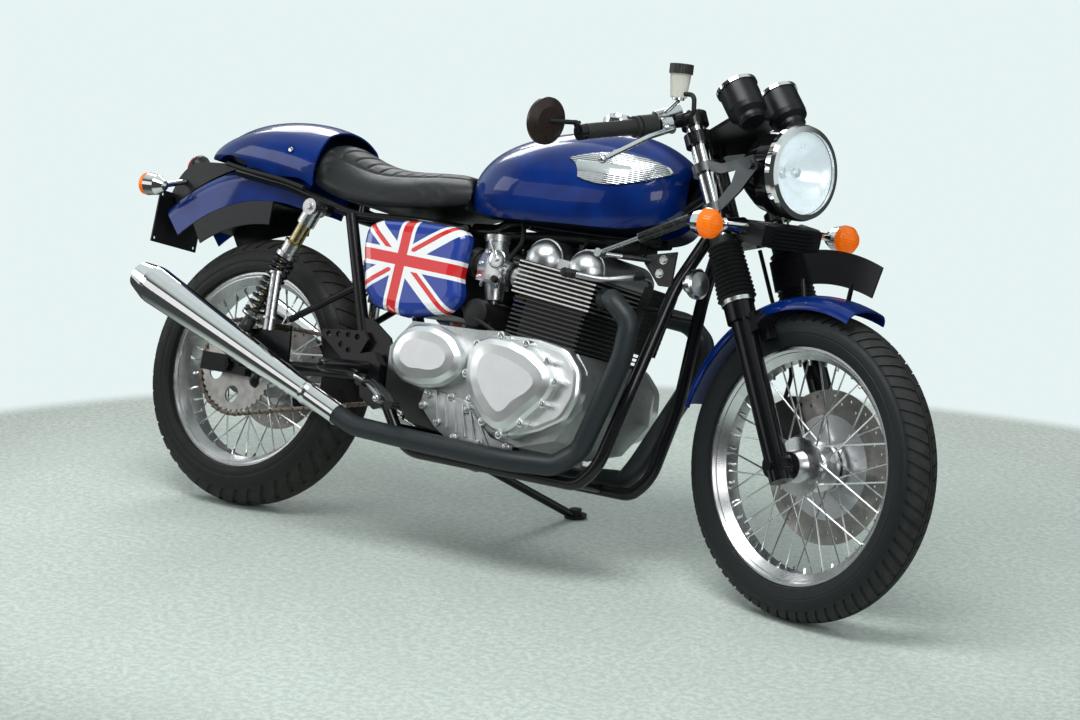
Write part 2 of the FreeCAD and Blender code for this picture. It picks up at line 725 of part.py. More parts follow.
def number_plate():
    """The curved blank plate that stands along the front mudguard, on two posts."""
    low = 374.0
    high = 440.0
    start = math.radians(113)
    end = math.radians(72)
    middle = (start + end) / 2
    at = lambda r, a: (FRONT_AXLE.x + r * math.cos(a), FRONT_AXLE.z + r * math.sin(a))
    outline = Outline(at(low, start), side_plane(-2))
    outline.line(at(high, start)).arc(at(high + 4, middle), at(high, end))
    outline.line(at(low, end)).arc(at(low, middle), at(low, start))
    plate = outline.face().extrude(Vector(0, 4, 0))
    posts = []
    for angle in (101, 81):
        a = math.radians(angle)
        foot = FRONT_AXLE + Vector((FRONT_FENDER_R + 0.5) * math.cos(a), 0, (FRONT_FENDER_R + 0.5) * math.sin(a))
        head = FRONT_AXLE + Vector((low + 12) * math.cos(a), 0, (low + 12) * math.sin(a))
        posts.append(rod(foot, head, 5))
    return joined([plate] + posts)


def front_caliper():
    """The caliper over the front disc, behind the left fork leg."""
    body = block((-44, -20, -42), (44, 22, 42))
    lug = block((30, 12, -32), (64, 32, 32))
    caliper = joined([body, lug])
    caliper.Placement = Placement(on_fork(126, -78, FRONT_DISC_Y + 3), Rotation(Y_AXIS, -RAKE))
    slot_r = FRONT_DISC_R + 4
    low = FRONT_DISC_Y - 3
    high = FRONT_DISC_Y + DISC_T + 3
    slot = turned([(60, low), (slot_r, low), (slot_r, high), (60, high)], FRONT_AXLE, Y_AXIS)
    leg_gap = rod(on_fork(0, 0, FORK_HALF_SPREAD), on_fork(300, 0, FORK_HALF_SPREAD), FORK_LEG_R + SEAT_GAP)
    return caliper.cut([slot, leg_gap])


def steering_nodes():
    """Everything that turns with the handlebars, apart from the wheel."""
    shell, bezel, lens = headlight()
    cups, bezels = gauges()
    bottle, cap = reservoir()
    bodies, lenses = front_indicators()
    return {
        "fork_legs": fork_legs(),
        "fork_tubes": fork_tubes(),
        "fork_gaiters": together([gaiter(side * FORK_HALF_SPREAD) for side in SIDES]),
        "yokes": yokes(),
        "headlight_shell": shell,
        "chrome_rings": together([bezel, bezels]),
        "headlight_lens": lens,
        "headlight_ears": headlight_ears(),
        "gauge_cups": cups,
        "handlebars": handlebars(),
        "grips": together([grips(), switchgear(), cap]),
        "controls": controls(),
        "fluid_bottle": bottle,
        "mirrors": mirrors(),
        "front_indicators": bodies,
        "front_lenses": lenses,
        "regulator": regulator(),
        "front_fender": front_fender(),
        "number_plate": number_plate(),
        "front_caliper": front_caliper(),
        "brake_hoses": brake_hoses(),
    }


# ---------------------------------------------------------------- tank, seat, tail
def body_section(x, floor, floor_w, wide_z, wide_w, shoulder_z, shoulder_w, top):
    """One cross-section of a tank or tail: flat floor, bulging sides, crowned top."""
    outline = Outline((-floor_w, floor), station_plane(x))
    outline.line((floor_w, floor))
    outline.arc((wide_w, wide_z), (shoulder_w, shoulder_z))
    outline.arc((0, top), (-shoulder_w, shoulder_z))
    outline.arc((-wide_w, wide_z), (-floor_w, floor))
    return outline.wire()


# x, floor, half width of floor, widest z, widest half width, shoulder z, shoulder half width, top
TANK_SECTIONS = (
    (548, TANK_FLOOR + 24, 38, 800, 46, 828, 34, 846),
    (600, TANK_FLOOR + 6, 84, 812, 100, 868, 70, 898),
    (700, TANK_FLOOR - 2, 116, 822, 142, 904, 92, 941),
    (850, TANK_FLOOR, 126, 836, TANK_HALF_W, 926, 96, TANK_TOP),
    (980, TANK_FLOOR + 4, 116, 838, 142, 916, 88, 959),
    (1060, TANK_FLOOR + 26, 88, 840, 112, 898, 68, 924),
    (1094, TANK_FLOOR + 66, 52, 842, 72, 874, 46, 890),
)

# The seat pad, from inside the tail cowl to the back of the tank
SEAT_SECTIONS = (
    (130, 764, 104, 812, 112, 862, 84, 886),
    (200, 742, 112, 790, 122, 838, 88, 864),
    (290, 729, 118, 776, SEAT_HALF_W, 812, 96, 838),
    (410, 731, 116, 776, 126, 810, 94, 833),
    (520, 746, 104, 784, 114, 814, 86, 836),
    (588, 764, 84, 794, 92, 816, 72, 832),
)

# The tail cowl, from its tip to the open front
COWL_SECTIONS = (
    (-236, 806, 44, 812, 47, 816, 40, 821),
    (-180, 802, 78, 826, 84, 852, 58, 874),
    (-60, 786, 104, 832, 114, 888, 78, 916),
    (60, 772, 116, 828, 124, 890, 88, 922),
    (146, 759, 122, 820, 127, 884, 92, 908),
)


def lofted(sections, inset=0.0, drop_floor=0.0, stretch=0.0):
    """A smooth solid through the sections, made smaller all round by the inset."""
    wires = []
    last = len(sections) - 1
    for k, (x, floor, floor_w, wide_z, wide_w, shoulder_z, shoulder_w, top) in enumerate(sections):
        if k == last:
            x += stretch
        wires.append(body_section(x, floor - drop_floor, floor_w - inset, wide_z, wide_w - inset,
                                  shoulder_z - inset * 0.6, shoulder_w - inset * 0.8, top - inset))
    return Part.makeLoft(wires, True, False)


def fuel_tank():
    """The tank with the tunnel for the frame's backbone and a rolled seam at its foot."""
    shell = lofted(TANK_SECTIONS)
    half = TANK_TUNNEL_HALF
    tunnel = block((500, -half, TANK_FLOOR - 40), (1010, half, TANK_FLOOR + 60))
    crown = rod((500, 0, TANK_FLOOR + 60), (1010, 0, TANK_FLOOR + 60), half)
    mouth = slab([(980, 700), (980, 836), (1120, 896), (1120, 700)], -half, half)
    return shell.cut([tunnel, crown, mouth])


def tank_badge(side):
    """An eye-shaped chrome badge on the tank's flank."""
    outline = Outline((846, 884), side_plane(side * 80))
    outline.arc((990, 908), (1086, 884)).arc((1010, 842), (885, 843)).arc((876, 864), (846, 884))
    prism = outline.face().extrude(Vector(0, side * 100, 0))
    return lofted(TANK_SECTIONS, -BADGE_T).common(prism).cut(lofted(TANK_SECTIONS, -SEAT_GAP))


def fuel_cap():
    """The round filler cap on top of the tank."""
    foot = Vector(866, 0, TANK_TOP)
    cap = turned([(0, -14), (30, -14), (30, 8), (35, 12), (35, 30), (32, 34), (24, 36), (22, 42), (0, 43)], foot, Z_AXIS)
    return cap.cut(lofted(TANK_SECTIONS, -SEAT_GAP))


def seat_pad():
    """The padded seat, hollowed at its nose where it meets the tank."""
    pad = lofted(SEAT_SECTIONS)
    tail = [(x, floor - 30, w1 + 1, z1, w2 + 1, z2, w3 + 1, top + 2)
            for x, floor, w1, z1, w2, z2, w3, top in TANK_SECTIONS[:3]]
    tail[0] = (tail[0][0] - 3,) + tail[0][1:]
    return pad.cut(lofted(tail))


def tail_cowl():
    """The hollow hump behind the seat."""
    outer = lofted(COWL_SECTIONS)
    inner_sections = [COWL_SECTIONS[0]] + list(COWL_SECTIONS[1:])
    inner_sections[0] = (COWL_SECTIONS[0][0] + 22,) + COWL_SECTIONS[0][1:]
    inner = lofted(inner_sections, COWL_T, 14, 2)
    lugs = []
    for side in SIDES:
        foot = block((-78, side * 91 - 7, 774), (-42, side * 91 + 7, 796))
        head = block((-78, side * 107 - 23, 788), (-42, side * 107 + 23, 802)).common(outer)
        lugs.append(joined([foot, head]).cut(seat_rail(side, RAIL_R + SEAT_GAP)))
    return joined([outer.cut(inner)] + lugs)


def rear_fender():
    """The painted rear mudguard."""
    half = REAR_FENDER_HALF_W
    outer = REAR_FENDER_R
    plane = lambda y, r: Vector(REAR_AXLE.x, y, REAR_AXLE.z + r)
    inner = half - FENDER_T
    outline = Outline((-half, outer - 98), plane)
    outline.line((-half, outer - 46)).arc((-half + 7, outer - 24), (-half + 24, outer - 11))
    outline.arc((0, outer), (half - 24, outer - 11)).arc((half - 7, outer - 24), (half, outer - 46))
    outline.line((half, outer - 98), (inner, outer - 98), (inner, outer - 47))
    outline.arc((half - 10, outer - 27), (half - 25, outer - 15)).arc((0, outer - FENDER_T), (25 - half, outer - 15))
    outline.arc((10 - half, outer - 27), (-inner, outer - 47)).line((-inner, outer - 98))
    face = outline.face()
    face.rotate(REAR_AXLE, Y_AXIS, -43.5)
    return face.revolve(REAR_AXLE, Y_AXIS, 56.5)


def inner_fender():
    """The black inner mudguard that shows below the painted one."""
    half = REAR_FENDER_HALF_W - 1
    outer = REAR_FENDER_R - 98 - SEAT_GAP
    plane = lambda y, r: Vector(REAR_AXLE.x, y, REAR_AXLE.z + r)
    points = [(-half, outer - 56), (-half, outer), (half, outer), (half, outer - 56), (half - 4, outer - 56),
              (half - 4, outer - 4), (-half + 4, outer - 4), (-half + 4, outer - 56)]
    outline = Outline(points[0], plane).line(*points[1:])
    face = outline.face()
    face.rotate(REAR_AXLE, Y_AXIS, -36)
    return face.revolve(REAR_AXLE, Y_AXIS, 36)


def tail_bracket():
    """The black bracket that carries the rear light and the bare number plate holder."""
    seat_r = REAR_FENDER_R + SEAT_GAP
    over = lambda deg: (REAR_AXLE.x - seat_r * math.sin(math.radians(deg)),
                        REAR_AXLE.z + seat_r * math.cos(math.radians(deg)))
    outline = Outline((-166, 802), side_plane(-40))
    outline.line((-262, 799)).arc((-312, 784), (-342, 748)).line((-356, 712), (-352, 704), (-343, 704), over(42))
    outline.arc(over(31), over(19.5)).line((-166, 802))
    arm = outline.face().extrude(Vector(0, 80, 0))
    holder = block((-356, -82, 586), (-352, 82, 714))
    holes = [rod((-362, y, z), (-346, y, z), PLATE_HOLE_R) for y in (-72, 72) for z in (596, 704)]
    light_body = turned([(0, -34), (20, -30), (31, -6), (31, 2), (0, 2)], LIGHT_AT, LIGHT_FACING)
    lens_space = turned([(0, 2), (31, 2), (31, 60), (0, 60)], LIGHT_AT, LIGHT_FACING)
    return joined([arm.cut(lens_space), light_body, holder.cut(holes)])


def tail_light():
    """The round lens of the rear light."""
    return turned([(0, 2.3), (29, 2.3), (27, 10), (18, 17), (0, 20)], LIGHT_AT, LIGHT_FACING)


def rear_indicators():
    """Bullet indicators on short stems beside the rear light."""
    bodies = []
    lenses = []
    for side in SIDES:
        centre = Vector(-352, side * 128, 718)
        back = Vector(-1, 0, 0)
        body = turned([(0, -58), (12, -52), (24, -30), (27, -2), (0, -2)], centre, back)
        stem = rod(centre + Vector(30, side * -14, 2), (-318, side * 42.8, 744), 7)
        bodies.append(joined([body, stem]))
        lenses.append(turned([(0, -1.7), (27.5, -1.7), (26, 10), (16, 20), (0, 24)], centre, back))
    return together(bodies), together(lenses)


PANEL_Y = 116.0
PANEL_OUTLINE = ((344, 684), (380, 700), (493, 707), (580, 704), (626, 694), (620, 597), (636, 544), (598, 510),
                 (489, 490), (400, 503), (366, 540), (342, 640))


def side_panel(side):
    """A domed side panel with softened corners."""
    return stepped_cover(PANEL_OUTLINE, ((PANEL_Y, 0), (134, 0), (142, 5), (148, 14), (151, 30)), 42, side)


# ---------------------------------------------------------------- engine
CASE_OUTLINE = ((478, 330), (470, 420), (520, 484), (700, 486), (752, 490), (966, 466), (998, 430), (1000, 350),
                (946, 276), (860, 250), (700, 246), (560, 262))
CHAIN_POCKET = ((460, 286), (460, 440), (640, 440), (666, 400), (660, 330), (610, 310))


def crankcase():
    """The lower engine block with its finned sump."""
    case = slab(list(CASE_OUTLINE), -CASE_HALF_W, CASE_HALF_W)
    sump = [block((x, -96, 232), (x + 8, 96, 262)) for x in range(690, 850, 20)]
    pocket = slab(list(CHAIN_POCKET), CHAIN_Y - 14, CHAIN_Y + 14)
    return joined([case] + sump).cut(pocket)


def tilted(shape):
    """A shape drawn upright on the cylinder's axis, leaned forward as the cylinders are."""
    shape.rotate(Vector(860, 0, 478), Y_AXIS, CYLINDER_TILT)
    return shape


def fin_stack(low, count, length, width, core_length, core_width):
    """A finned block: thin plates round a core."""
    top = low + count * FIN_PITCH
    core = block((860 - core_length / 2, -core_width / 2, low), (860 + core_length / 2, core_width / 2, top))
    plates = []
    for k in range(count):
        z = low + (k + 0.4) * FIN_PITCH
        plates.append(block((860 - length / 2, -width / 2, z), (860 + length / 2, width / 2, z + FIN_T)))
    return joined([core] + plates)


def cylinder_barrel():
    """The finned barrels."""
    return tilted(fin_stack(479, BARREL_FINS, FIN_LENGTH - 12, FIN_WIDTH - 14, 150, 240))


def cylinder_head():
    """The finned head with its exhaust ports."""
    low = 479 + BARREL_FINS * FIN_PITCH + 0.2
    return tilted(fin_stack(low, HEAD_FINS, FIN_LENGTH + 6, FIN_WIDTH, 170, 250))


def cam_covers():
    """The two rounded cam covers across the top of the head."""
    low = 479 + (BARREL_FINS + HEAD_FINS) * FIN_PITCH + 0.5
    shapes = [block((780, -112, low), (912, 112, low + 22))]
    for x in (790, 902):
        dome = rod((x, -104, low + 10), (x, 104, low + 10), 48)
        ends = [Part.makeSphere(48, Vector(x, y, low + 10)) for y in (-90, 90)]
        keep = block((x - 60, -170, low), (x + 60, 170, low + 90))
        shapes.append(joined([dome] + ends).common(keep))
    return tilted(joined(shapes))


CLUTCH_OUTLINE = ((724, 420), (738, 458), (776, 474), (834, 474), (892, 458), (940, 428), (960, 396), (944, 360),
                  (900, 312), (862, 278), (832, 270), (798, 286), (752, 330), (728, 376))
SPROCKET_OUTLINE = ((494, 405), (506, 448), (546, 476), (604, 482), (664, 464), (702, 420), (692, 378), (652, 350),
                    (594, 340), (536, 350), (504, 376))
PRIMARY_OUTLINE = ((722, 440), (760, 484), (880, 484), (956, 472), (998, 430), (1004, 378), (982, 322), (926, 290),
                   (850, 262), (790, 268), (722, 350))
# Name of the row: outline, where it starts, edge height, dome height, inset of the dome, corner radius
COVER_ROWS = (
    (PRIMARY_OUTLINE, 0.2, 24, 34, 14, 46),
    (SPROCKET_OUTLINE, 0.2, 26, 48, 40, 60),
    (CLUTCH_OUTLINE, 34.4, 54, 73, 44, 46),
)
SCREW_LUG_R = 9.0
CLUTCH_SCREWS = ((742, 452), (800, 478), (868, 468), (928, 438), (958, 398), (936, 348), (890, 300), (842, 268),
                 (792, 290), (750, 332), (727, 386))


def engine_covers():
    """The cast side covers of both sides, with the screw lugs round the clutch cover."""
    covers = []
    for side in SIDES:
        for outline, start, edge, top, inset, radius in COVER_ROWS:
            rise = top - edge
            levels = ((start, 0), (edge, 0), (edge + rise * 0.45, inset * 0.16), (edge + rise * 0.8, inset * 0.48),
                      (top, inset))
            levels = [(CASE_HALF_W + y, shrink) for y, shrink in levels]
            cover = stepped_cover(outline, levels, radius, side)
            if outline is CLUTCH_OUTLINE:
                lugs = [rod((x, side * (CASE_HALF_W + start), z), (x, side * (CASE_HALF_W + edge + 3), z), SCREW_LUG_R)
                        for x, z in CLUTCH_SCREWS]
                cover = joined([cover] + lugs)
            covers.append(cover)
    return together(covers)


def carburettors():
    """The two carburettors behind the head: bodies, bell mouths, slide domes, float bowls and rubber inlets."""
    shapes = []
    for y in (-78, 78):
        body = rod((606, y, 640), (724, y, 620), 26)
        bell = rod((612, y, 639), (628, y, 636), 34)
        dome = rod((668, y, 640), (661, y, 690), 26)
        cap = rod((661.4, y, 687), (659.4, y, 702), 29)
        flange = rod((671, y, 612), (673, y, 602), 29)
        bowl = cone((673, y, 606), (681, y, 558), 25, 19)
        drain = rod((680, y, 560), (681.4, y, 550), 7)
        stub = rod((716, y, 621), (770.1, y, 611.6), 22)
        band = rod((732, y, 618.3), (742, y, 616.5), 24.5)
        shapes.append(joined([body, bell, dome, cap, flange, bowl, drain, stub, band]))
    bar = rod((664, -78, 668), (664, 78, 668), 8)
    return joined(shapes + [bar])


def airbox():
    """The box between the side panels, with the battery."""
    reach = PANEL_Y - SEAT_GAP
    return block((364, -reach, 512), (596, reach, 694))


# x, half distance from the middle, z and bend radius of each corner of an exhaust pipe
HEADER_CORNERS = ((979.5, 112, 592, 0), (1008, 114, 592, 24), (1040, 168, 590, 34), (1092, 164, 548, 36),
                  (1084, 156, 470, 150), (1004, 123, 266, 56), (962, 148, 224, 40), (850, 175, 217, 300),
                  (580, 188, 225, 400), (452, 191.4, 231.1, 120), (347.8, 194.8, 270.1, 0))


def headers():
    """The two exhaust pipes, from the head down, under and back."""
    shapes = []
    for side in SIDES:
        points = [(x, side * y, z) for x, y, z, _ in HEADER_CORNERS]
        radii = [radius for _, _, _, radius in HEADER_CORNERS[1:-1]]
        shapes.append(bent_rod(points, radii, HEADER_R))
    return together(shapes)


def mufflers():
    """Megaphone silencers with reverse-cone ends and clamp collars."""
    shapes = []
    for side in SIDES:
        front = Vector(404, side * 193, 249)
        back = Vector(-238, side * 214, 490)
        axis = (back - front).normalize()
        length = (back - front).Length
        inner = HEADER_R + 0.3
        points = [(inner, 0), (inner + 3, 0), (inner + 3, 90), (28, 98), (28, 104), (26, 108), (46, length - 56),
                  (45, length - 44), (34, length), (30, length), (41, length - 46), (42, length - 60), (24, 120),
                  (inner, 40)]
        shapes.append(turned(points, front, axis))
    return together(shapes)


def oil_cooler():
    """The finned oil cooler between the downtubes."""
    core = block((-12, -52, -70), (12, 52, 70))
    fins = [block((-16, -46, z), (16, 46, z + 4)) for z in range(-62, 62, 12)]
    cooler = joined([core] + fins)
    cooler.Placement = Placement(Vector(1040, 0, 566), Rotation(Y_AXIS, 12))
    lugs = []
    for side in SIDES:
        tube = bent_rod(downtube(side), [300, 300, 120, 50, 90], CRADLE_R + SEAT_GAP)
        lugs.append(rod((1045, side * 48, 590), (1114.5, side * 71.2, 590), 5).cut(tube))
    return joined([cooler] + lugs)


def horn():
    """The round horn beside the downtube."""
    body = turned([(0, -26), (18, -26), (20, -8), (32, -6), (32, 4), (26, 8), (0, 10)], (1176, -64, 655), (1, -0.25, 0.1))
    tab = block((1146, -62, 642), (1162, -54, 668))
    tube = bent_rod(downtube(RIGHT), [300, 300, 120, 50, 90], CRADLE_R + SEAT_GAP)
    return joined([body, tab]).cut(tube)


# ---------------------------------------------------------------- frame and running gear
def downtube(side):
    """The corners of one cradle loop, from the head down and back to the pivot."""
    y = side * CRADLE_HALF_W
    head = STEER_POINT + STEER_DIR * (LOWER_YOKE_AT + 46)
    return [(head.x - 10, side * 16, head.z), (1122, side * 62, 640), (1086, side * 106, 400), (1044, y, 226),
            (1000, y, 194), (540, y, 200), (462, y, 306)]


def cradle(side):
    """One loop of the cradle: downtube and lower rail, the seat tube, and the pivot plate."""
    y = side * CRADLE_HALF_W
    loop = bent_rod(downtube(side), [300, 300, 120, 50, 90], CRADLE_R)
    seat_tube = rod((382, y, 408), (268, y, 706), CRADLE_R)
    plate = slab(list(PIVOT_PLATE), side * (CRADLE_HALF_W + 2), side * (CRADLE_HALF_W + 8))
    return [loop, seat_tube, plate]


PIVOT_PLATE = ((352, 440), (366, 478), (404, 470), (452, 440), (471.5, 400), (477.7, 330), (484, 290), (440, 276),
               (396, 300), (384, 352))


# x, z, half width, radius of each cross tube
FRAME_CROSSES = ((268, 700, 104, 9), (930, 197, CRADLE_HALF_W, 10), (508, 246, CRADLE_HALF_W, 10), (538, 714, 40, 10))


SEAT_PEG_X = SEAT_SECTIONS[2][0]
TANK_MOUNT_X = 900.0
FENDER_PEG = (60.0, 98.0, 757.0)


def seat_rail(side, radius):
    """The rail under one side of the seat, from the backbone to the cowl."""
    x, y, z = FENDER_PEG
    points = [(540, side * 20, 716), (460, side * 96, 710), (270, side * 104, 706), (x, side * y, z),
              (-110, side * 91, 778)]
    return bent_rod(points, [60, 300, 300], radius)


def main_frame():
    """Head tube, backbone, cradle loops and seat rails as one welded frame."""
    low = LOWER_YOKE_AT + YOKE_T / 2 + 5
    high = UPPER_YOKE_AT - YOKE_T / 2 - 5
    head = rod(STEER_POINT + STEER_DIR * low, STEER_POINT + STEER_DIR * high, HEAD_TUBE_R)
    anchor = STEER_POINT + STEER_DIR * (high - 50)
    backbone = bent_rod([(anchor.x - 8, 0, anchor.z), (1030, 0, 794), (700, 0, 772), (606, 0, 718),
                         (540, 0, 714)], [200, 60, 60], 20)
    rails = []
    for side in SIDES:
        x, y, z = FENDER_PEG
        rails.append(seat_rail(side, RAIL_R))
        rails.append(rod((x, side * y, z), (x, side * (REAR_FENDER_HALF_W + SEAT_GAP), z), 7))
        rails.append(rod((SEAT_PEG_X, side * 104, 710), (SEAT_PEG_X, side * 104, SEAT_SECTIONS[2][1] - 2 * SEAT_GAP), 8))
        rails.append(rod((TANK_MOUNT_X, 0, 786), (TANK_MOUNT_X, side * (TANK_TUNNEL_HALF - SEAT_GAP), 786), 12))
        top, _, _ = shock_line(side)
        rails.append(rod((top.x, side * 96, top.z), (top.x, side * (SHOCK_Y - SHOCK_EYE_HALF - SEAT_GAP), top.z), 9))
        rails += cradle(side)
    crosses = [rod((x, -half_w, z), (x, half_w, z), radius) for x, z, half_w, radius in FRAME_CROSSES]
    shape = joined([head, backbone] + rails + crosses + [stand_bracket()])
    bore = rod(STEER_POINT + STEER_DIR * (low - 1), STEER_POINT + STEER_DIR * (high + 1), STEM_R + RUN_GAP)
    return shape.cut(bore)


def swingarm():
    """The swingarm: two arms, a cross tube and the axle in its blocks."""
    pivot = Vector(SWING_PIVOT_X, 0, SWING_PIVOT_Z)
    cross = rod(pivot + Vector(0, -108, 0), pivot + Vector(0, 108, 0), 25)
    reach = CRADLE_HALF_W + 2 - SEAT_GAP
    arms = [rod(pivot + Vector(0, -reach, 0), pivot + Vector(0, reach, 0), 20)]
    for side in SIDES:
        y = side * ARM_HALF_SPREAD
        arms.append(bent_rod([(pivot.x, side * 92, pivot.z), (pivot.x - 50, side * 94, pivot.z - 2),
                              (pivot.x - 140, y, pivot.z - 8), (40, y, REAR_AXLE.z + 6)], [80, 80], 16))
        arms.append(block((-78, y - 12, REAR_AXLE.z - 20), (60, y + 12, REAR_AXLE.z + 22)))
        foot_x, foot_z = SHOCK_FOOT
        can_x, can_z = CANISTER_FOOT
        ear = [(foot_x - 34, 328), (can_x + 30, 336), (can_x + 16, can_z + 8), (can_x - 12, can_z + 8),
               (foot_x + 20, foot_z + 14), (foot_x - 14, foot_z + 14)]
        arms.append(slab(ear, side * (SHOCK_Y - 23), side * (SHOCK_Y - 16 - SEAT_GAP)))
    reach = ARM_HALF_SPREAD + 26
    shaft = rod(REAR_AXLE + Vector(0, -reach, 0), REAR_AXLE + Vector(0, reach, 0), AXLE_R)
    nuts = [bolt(REAR_AXLE + Vector(0, side * (ARM_HALF_SPREAD + 12), 0), (0, side, 0), 17, 12) for side in SIDES]
    return joined([cross, shaft, rear_caliper()] + arms + nuts)


def shock_line(side):
    """A shock's top and lower eyes and the direction between them."""
    top = Vector(SHOCK_TOP[0], side * SHOCK_Y, SHOCK_TOP[1])
    low = Vector(SHOCK_FOOT[0], side * SHOCK_Y, SHOCK_FOOT[1])
    return top, low, (low - top).normalize()


def shocks():
    """Rear shock bodies: clevis eyes, chromed bodies and lower cups."""
    shapes = []
    for side in SIDES:
        top, low, down = shock_line(side)
        along = lambda d: top + down * d
        pieces = [rod(top + Vector(0, -SHOCK_EYE_HALF, 0), top + Vector(0, SHOCK_EYE_HALF, 0), 19), rod(top, along(44), 21),
                  rod(along(44), along(96), 16), rod(along(92), along(98), 24), rod(along(96), along(128), 22),
                  rod(along(122), along(SPRING_TOP), 27), rod(along(120), along(300), 9),
                  rod(along(SPRING_END), along(SPRING_END + 8), 27), rod(along(SPRING_END), along(326), 15),
                  rod(low + Vector(0, -16, 0), low + Vector(0, 16, 0), 17)]
        shapes += [joined(pieces), canister(side)]
    return together(shapes)


def canister(side):
    """The slotted canister beside a shock, on its pin at the swingarm's lug."""
    x, z = CANISTER_FOOT
    foot = Vector(x, side * 190, z)
    up = Vector(-7, 0, 111).normalize()
    at = lambda d: foot + up * d
    body = rod(at(-14), at(122), 13)
    flanges = [rod(at(12), at(17), 18), rod(at(117), at(122), 18)]
    pin = rod((x, side * (SHOCK_Y - 16), z), foot, 8)
    slots = [rod(at(d) + Vector(0, side * 14, 0), at(d + 20) + Vector(0, side * 14, 0), 3.5) for d in (24, 55, 86)]
    return joined([body, pin] + flanges).cut(slots)


def shock_springs():
    """The coil springs, as rings of the coil's outer form."""
    shapes = []
    for side in SIDES:
        top, _, down = shock_line(side)
        start = SPRING_TOP + SEAT_GAP
        points = [(16, start)]
        turns = 11
        pitch = (SPRING_END - SPRING_TOP - 2 * SEAT_GAP) / turns
        for k in range(turns):
            points += [(radius, start + pitch * (k + share)) for radius, share in ((27, 0.2), (27, 0.6), (21, 0.9))]
        points.append((16, SPRING_END - SEAT_GAP))
        shapes.append(turned(points, top, down))
    return together(shapes)


def chain_path():
    """Pin centres of the chain, evenly spaced round both sprockets."""
    front = Vector(600, CHAIN_Y, 372)
    back = REAR_AXLE + Vector(0, CHAIN_Y, 0)
    big = SPROCKET_R + 4
    small = GEARBOX_SPROCKET_R
    span = (front - back).Length
    lift = math.atan2(front.z - back.z, front.x - back.x)
    spread = math.acos((big - small) / span)
    straight = math.sqrt(span ** 2 - (big - small) ** 2)
    arc_big = big * (2 * math.pi - 2 * spread)
    arc_small = small * 2 * spread
    total = 2 * straight + arc_big + arc_small
    count = 2 * round(total / CHAIN_PITCH / 2)
    points = []
    for k in range(count):
        s = total * k / count
        if s < arc_big:
            a = lift + spread + s / big
            points.append(back + Vector(big * math.cos(a), 0, big * math.sin(a)))
            continue
        s -= arc_big
        a_low = lift - spread
        start = back + Vector(big * math.cos(a_low), 0, big * math.sin(a_low))
        end = front + Vector(small * math.cos(a_low), 0, small * math.sin(a_low))
        if s < straight:
            points.append(start + (end - start) * (s / straight))
            continue
        s -= straight
        if s < arc_small:
            a = a_low + s / small
            points.append(front + Vector(small * math.cos(a), 0, small * math.sin(a)))
            continue
        s -= arc_small
        a = lift + spread
        start = front + Vector(small * math.cos(a), 0, small * math.sin(a))
        end = back + Vector(big * math.cos(a), 0, big * math.sin(a))
        points.append(start + (end - start) * (s / straight))
    return points


def chain():
    """The drive chain as one loop of links, with side plates that narrow between the pins."""
    pins = chain_path()
    count = len(pins)
    outer = []
    inner = []
    for k, pin in enumerate(pins):
        before = pins[k - 1]
        after = pins[(k + 1) % count]
        along = (after - before).normalize()
        out = Vector(along.z, 0, -along.x)
        middle = (pin + after) * 0.5
        along_next = (after - pin).normalize()
        out_next = Vector(along_next.z, 0, -along_next.x)
        outer += [pin + out * 7.0, middle + out_next * 4.8]
        inner += [pin - out * 3.0, middle - out_next * 2.4]
    half = Vector(0, 8, 0)
    outer_face = Part.Face(Part.makePolygon([p - half for p in outer + outer[:1]]))
    inner_face = Part.Face(Part.makePolygon([p - half for p in inner + inner[:1]]))
    return outer_face.extrude(half * 2).cut(inner_face.extrude(half * 2))


def rear_sets():
    """Footrest hangers, pegs and the perforated heel plates."""
    shapes = []
    for side in SIDES:
        y0 = side * (CRADLE_HALF_W + 17.3)
        y1 = side * (CRADLE_HALF_W + 44)
        hanger = slab([(360, 352), (372, 386), (440, 402), (464, 376), (468, 340), (456, 330), (410, 330)], y0, y1)
        peg = rod((424, y1 - side * 2, 364), (414, side * 288, 352), 14)
        ball = Part.makeSphere(15, Vector(413.6, side * 292, 351.6))
        plate = slab([(268, 424), (270, 436), (388, 446), (404, 428), (384, 384), (368, 366), (344, 374)], y0, side * (CRADLE_HALF_W + 26))
        holes = [rod((x, y0 - side * 3, z), (x, side * 150, z), 7) for x, z in ((290, 428), (318, 430), (346, 432), (372, 430),
                                                                               (330, 408), (354, 398))]
        seats = [rod((x, side * (CRADLE_HALF_W + 8 + SEAT_GAP), z), (x, y0 + side, z), 9) for x, z in ((440, 378), (450, 344))]
        shapes.append(joined([hanger, peg, ball, plate.cut(holes)] + seats))
    return together(shapes)


def pedals():
    """The brake pedal on the right and the gear lever on the left."""
    shapes = []
    for side in SIDES:
        pivot = Vector(434, side * 170, 332)
        inner = CRADLE_HALF_W + 44 + SEAT_GAP
        arm = bent_rod([(434, side * 172, 332), (480, side * 190, 336), (540, side * 214, 312), (584, side * 240, 290)],
                       [40, 60], 8)
        boss = rod((434, side * inner, 332), (434, side * 182, 332), 11)
        tip = rod((584, side * 226, 290), (588, side * 262, 288), 9)
        shapes.append(joined([arm, boss, tip]))
    return together(shapes)


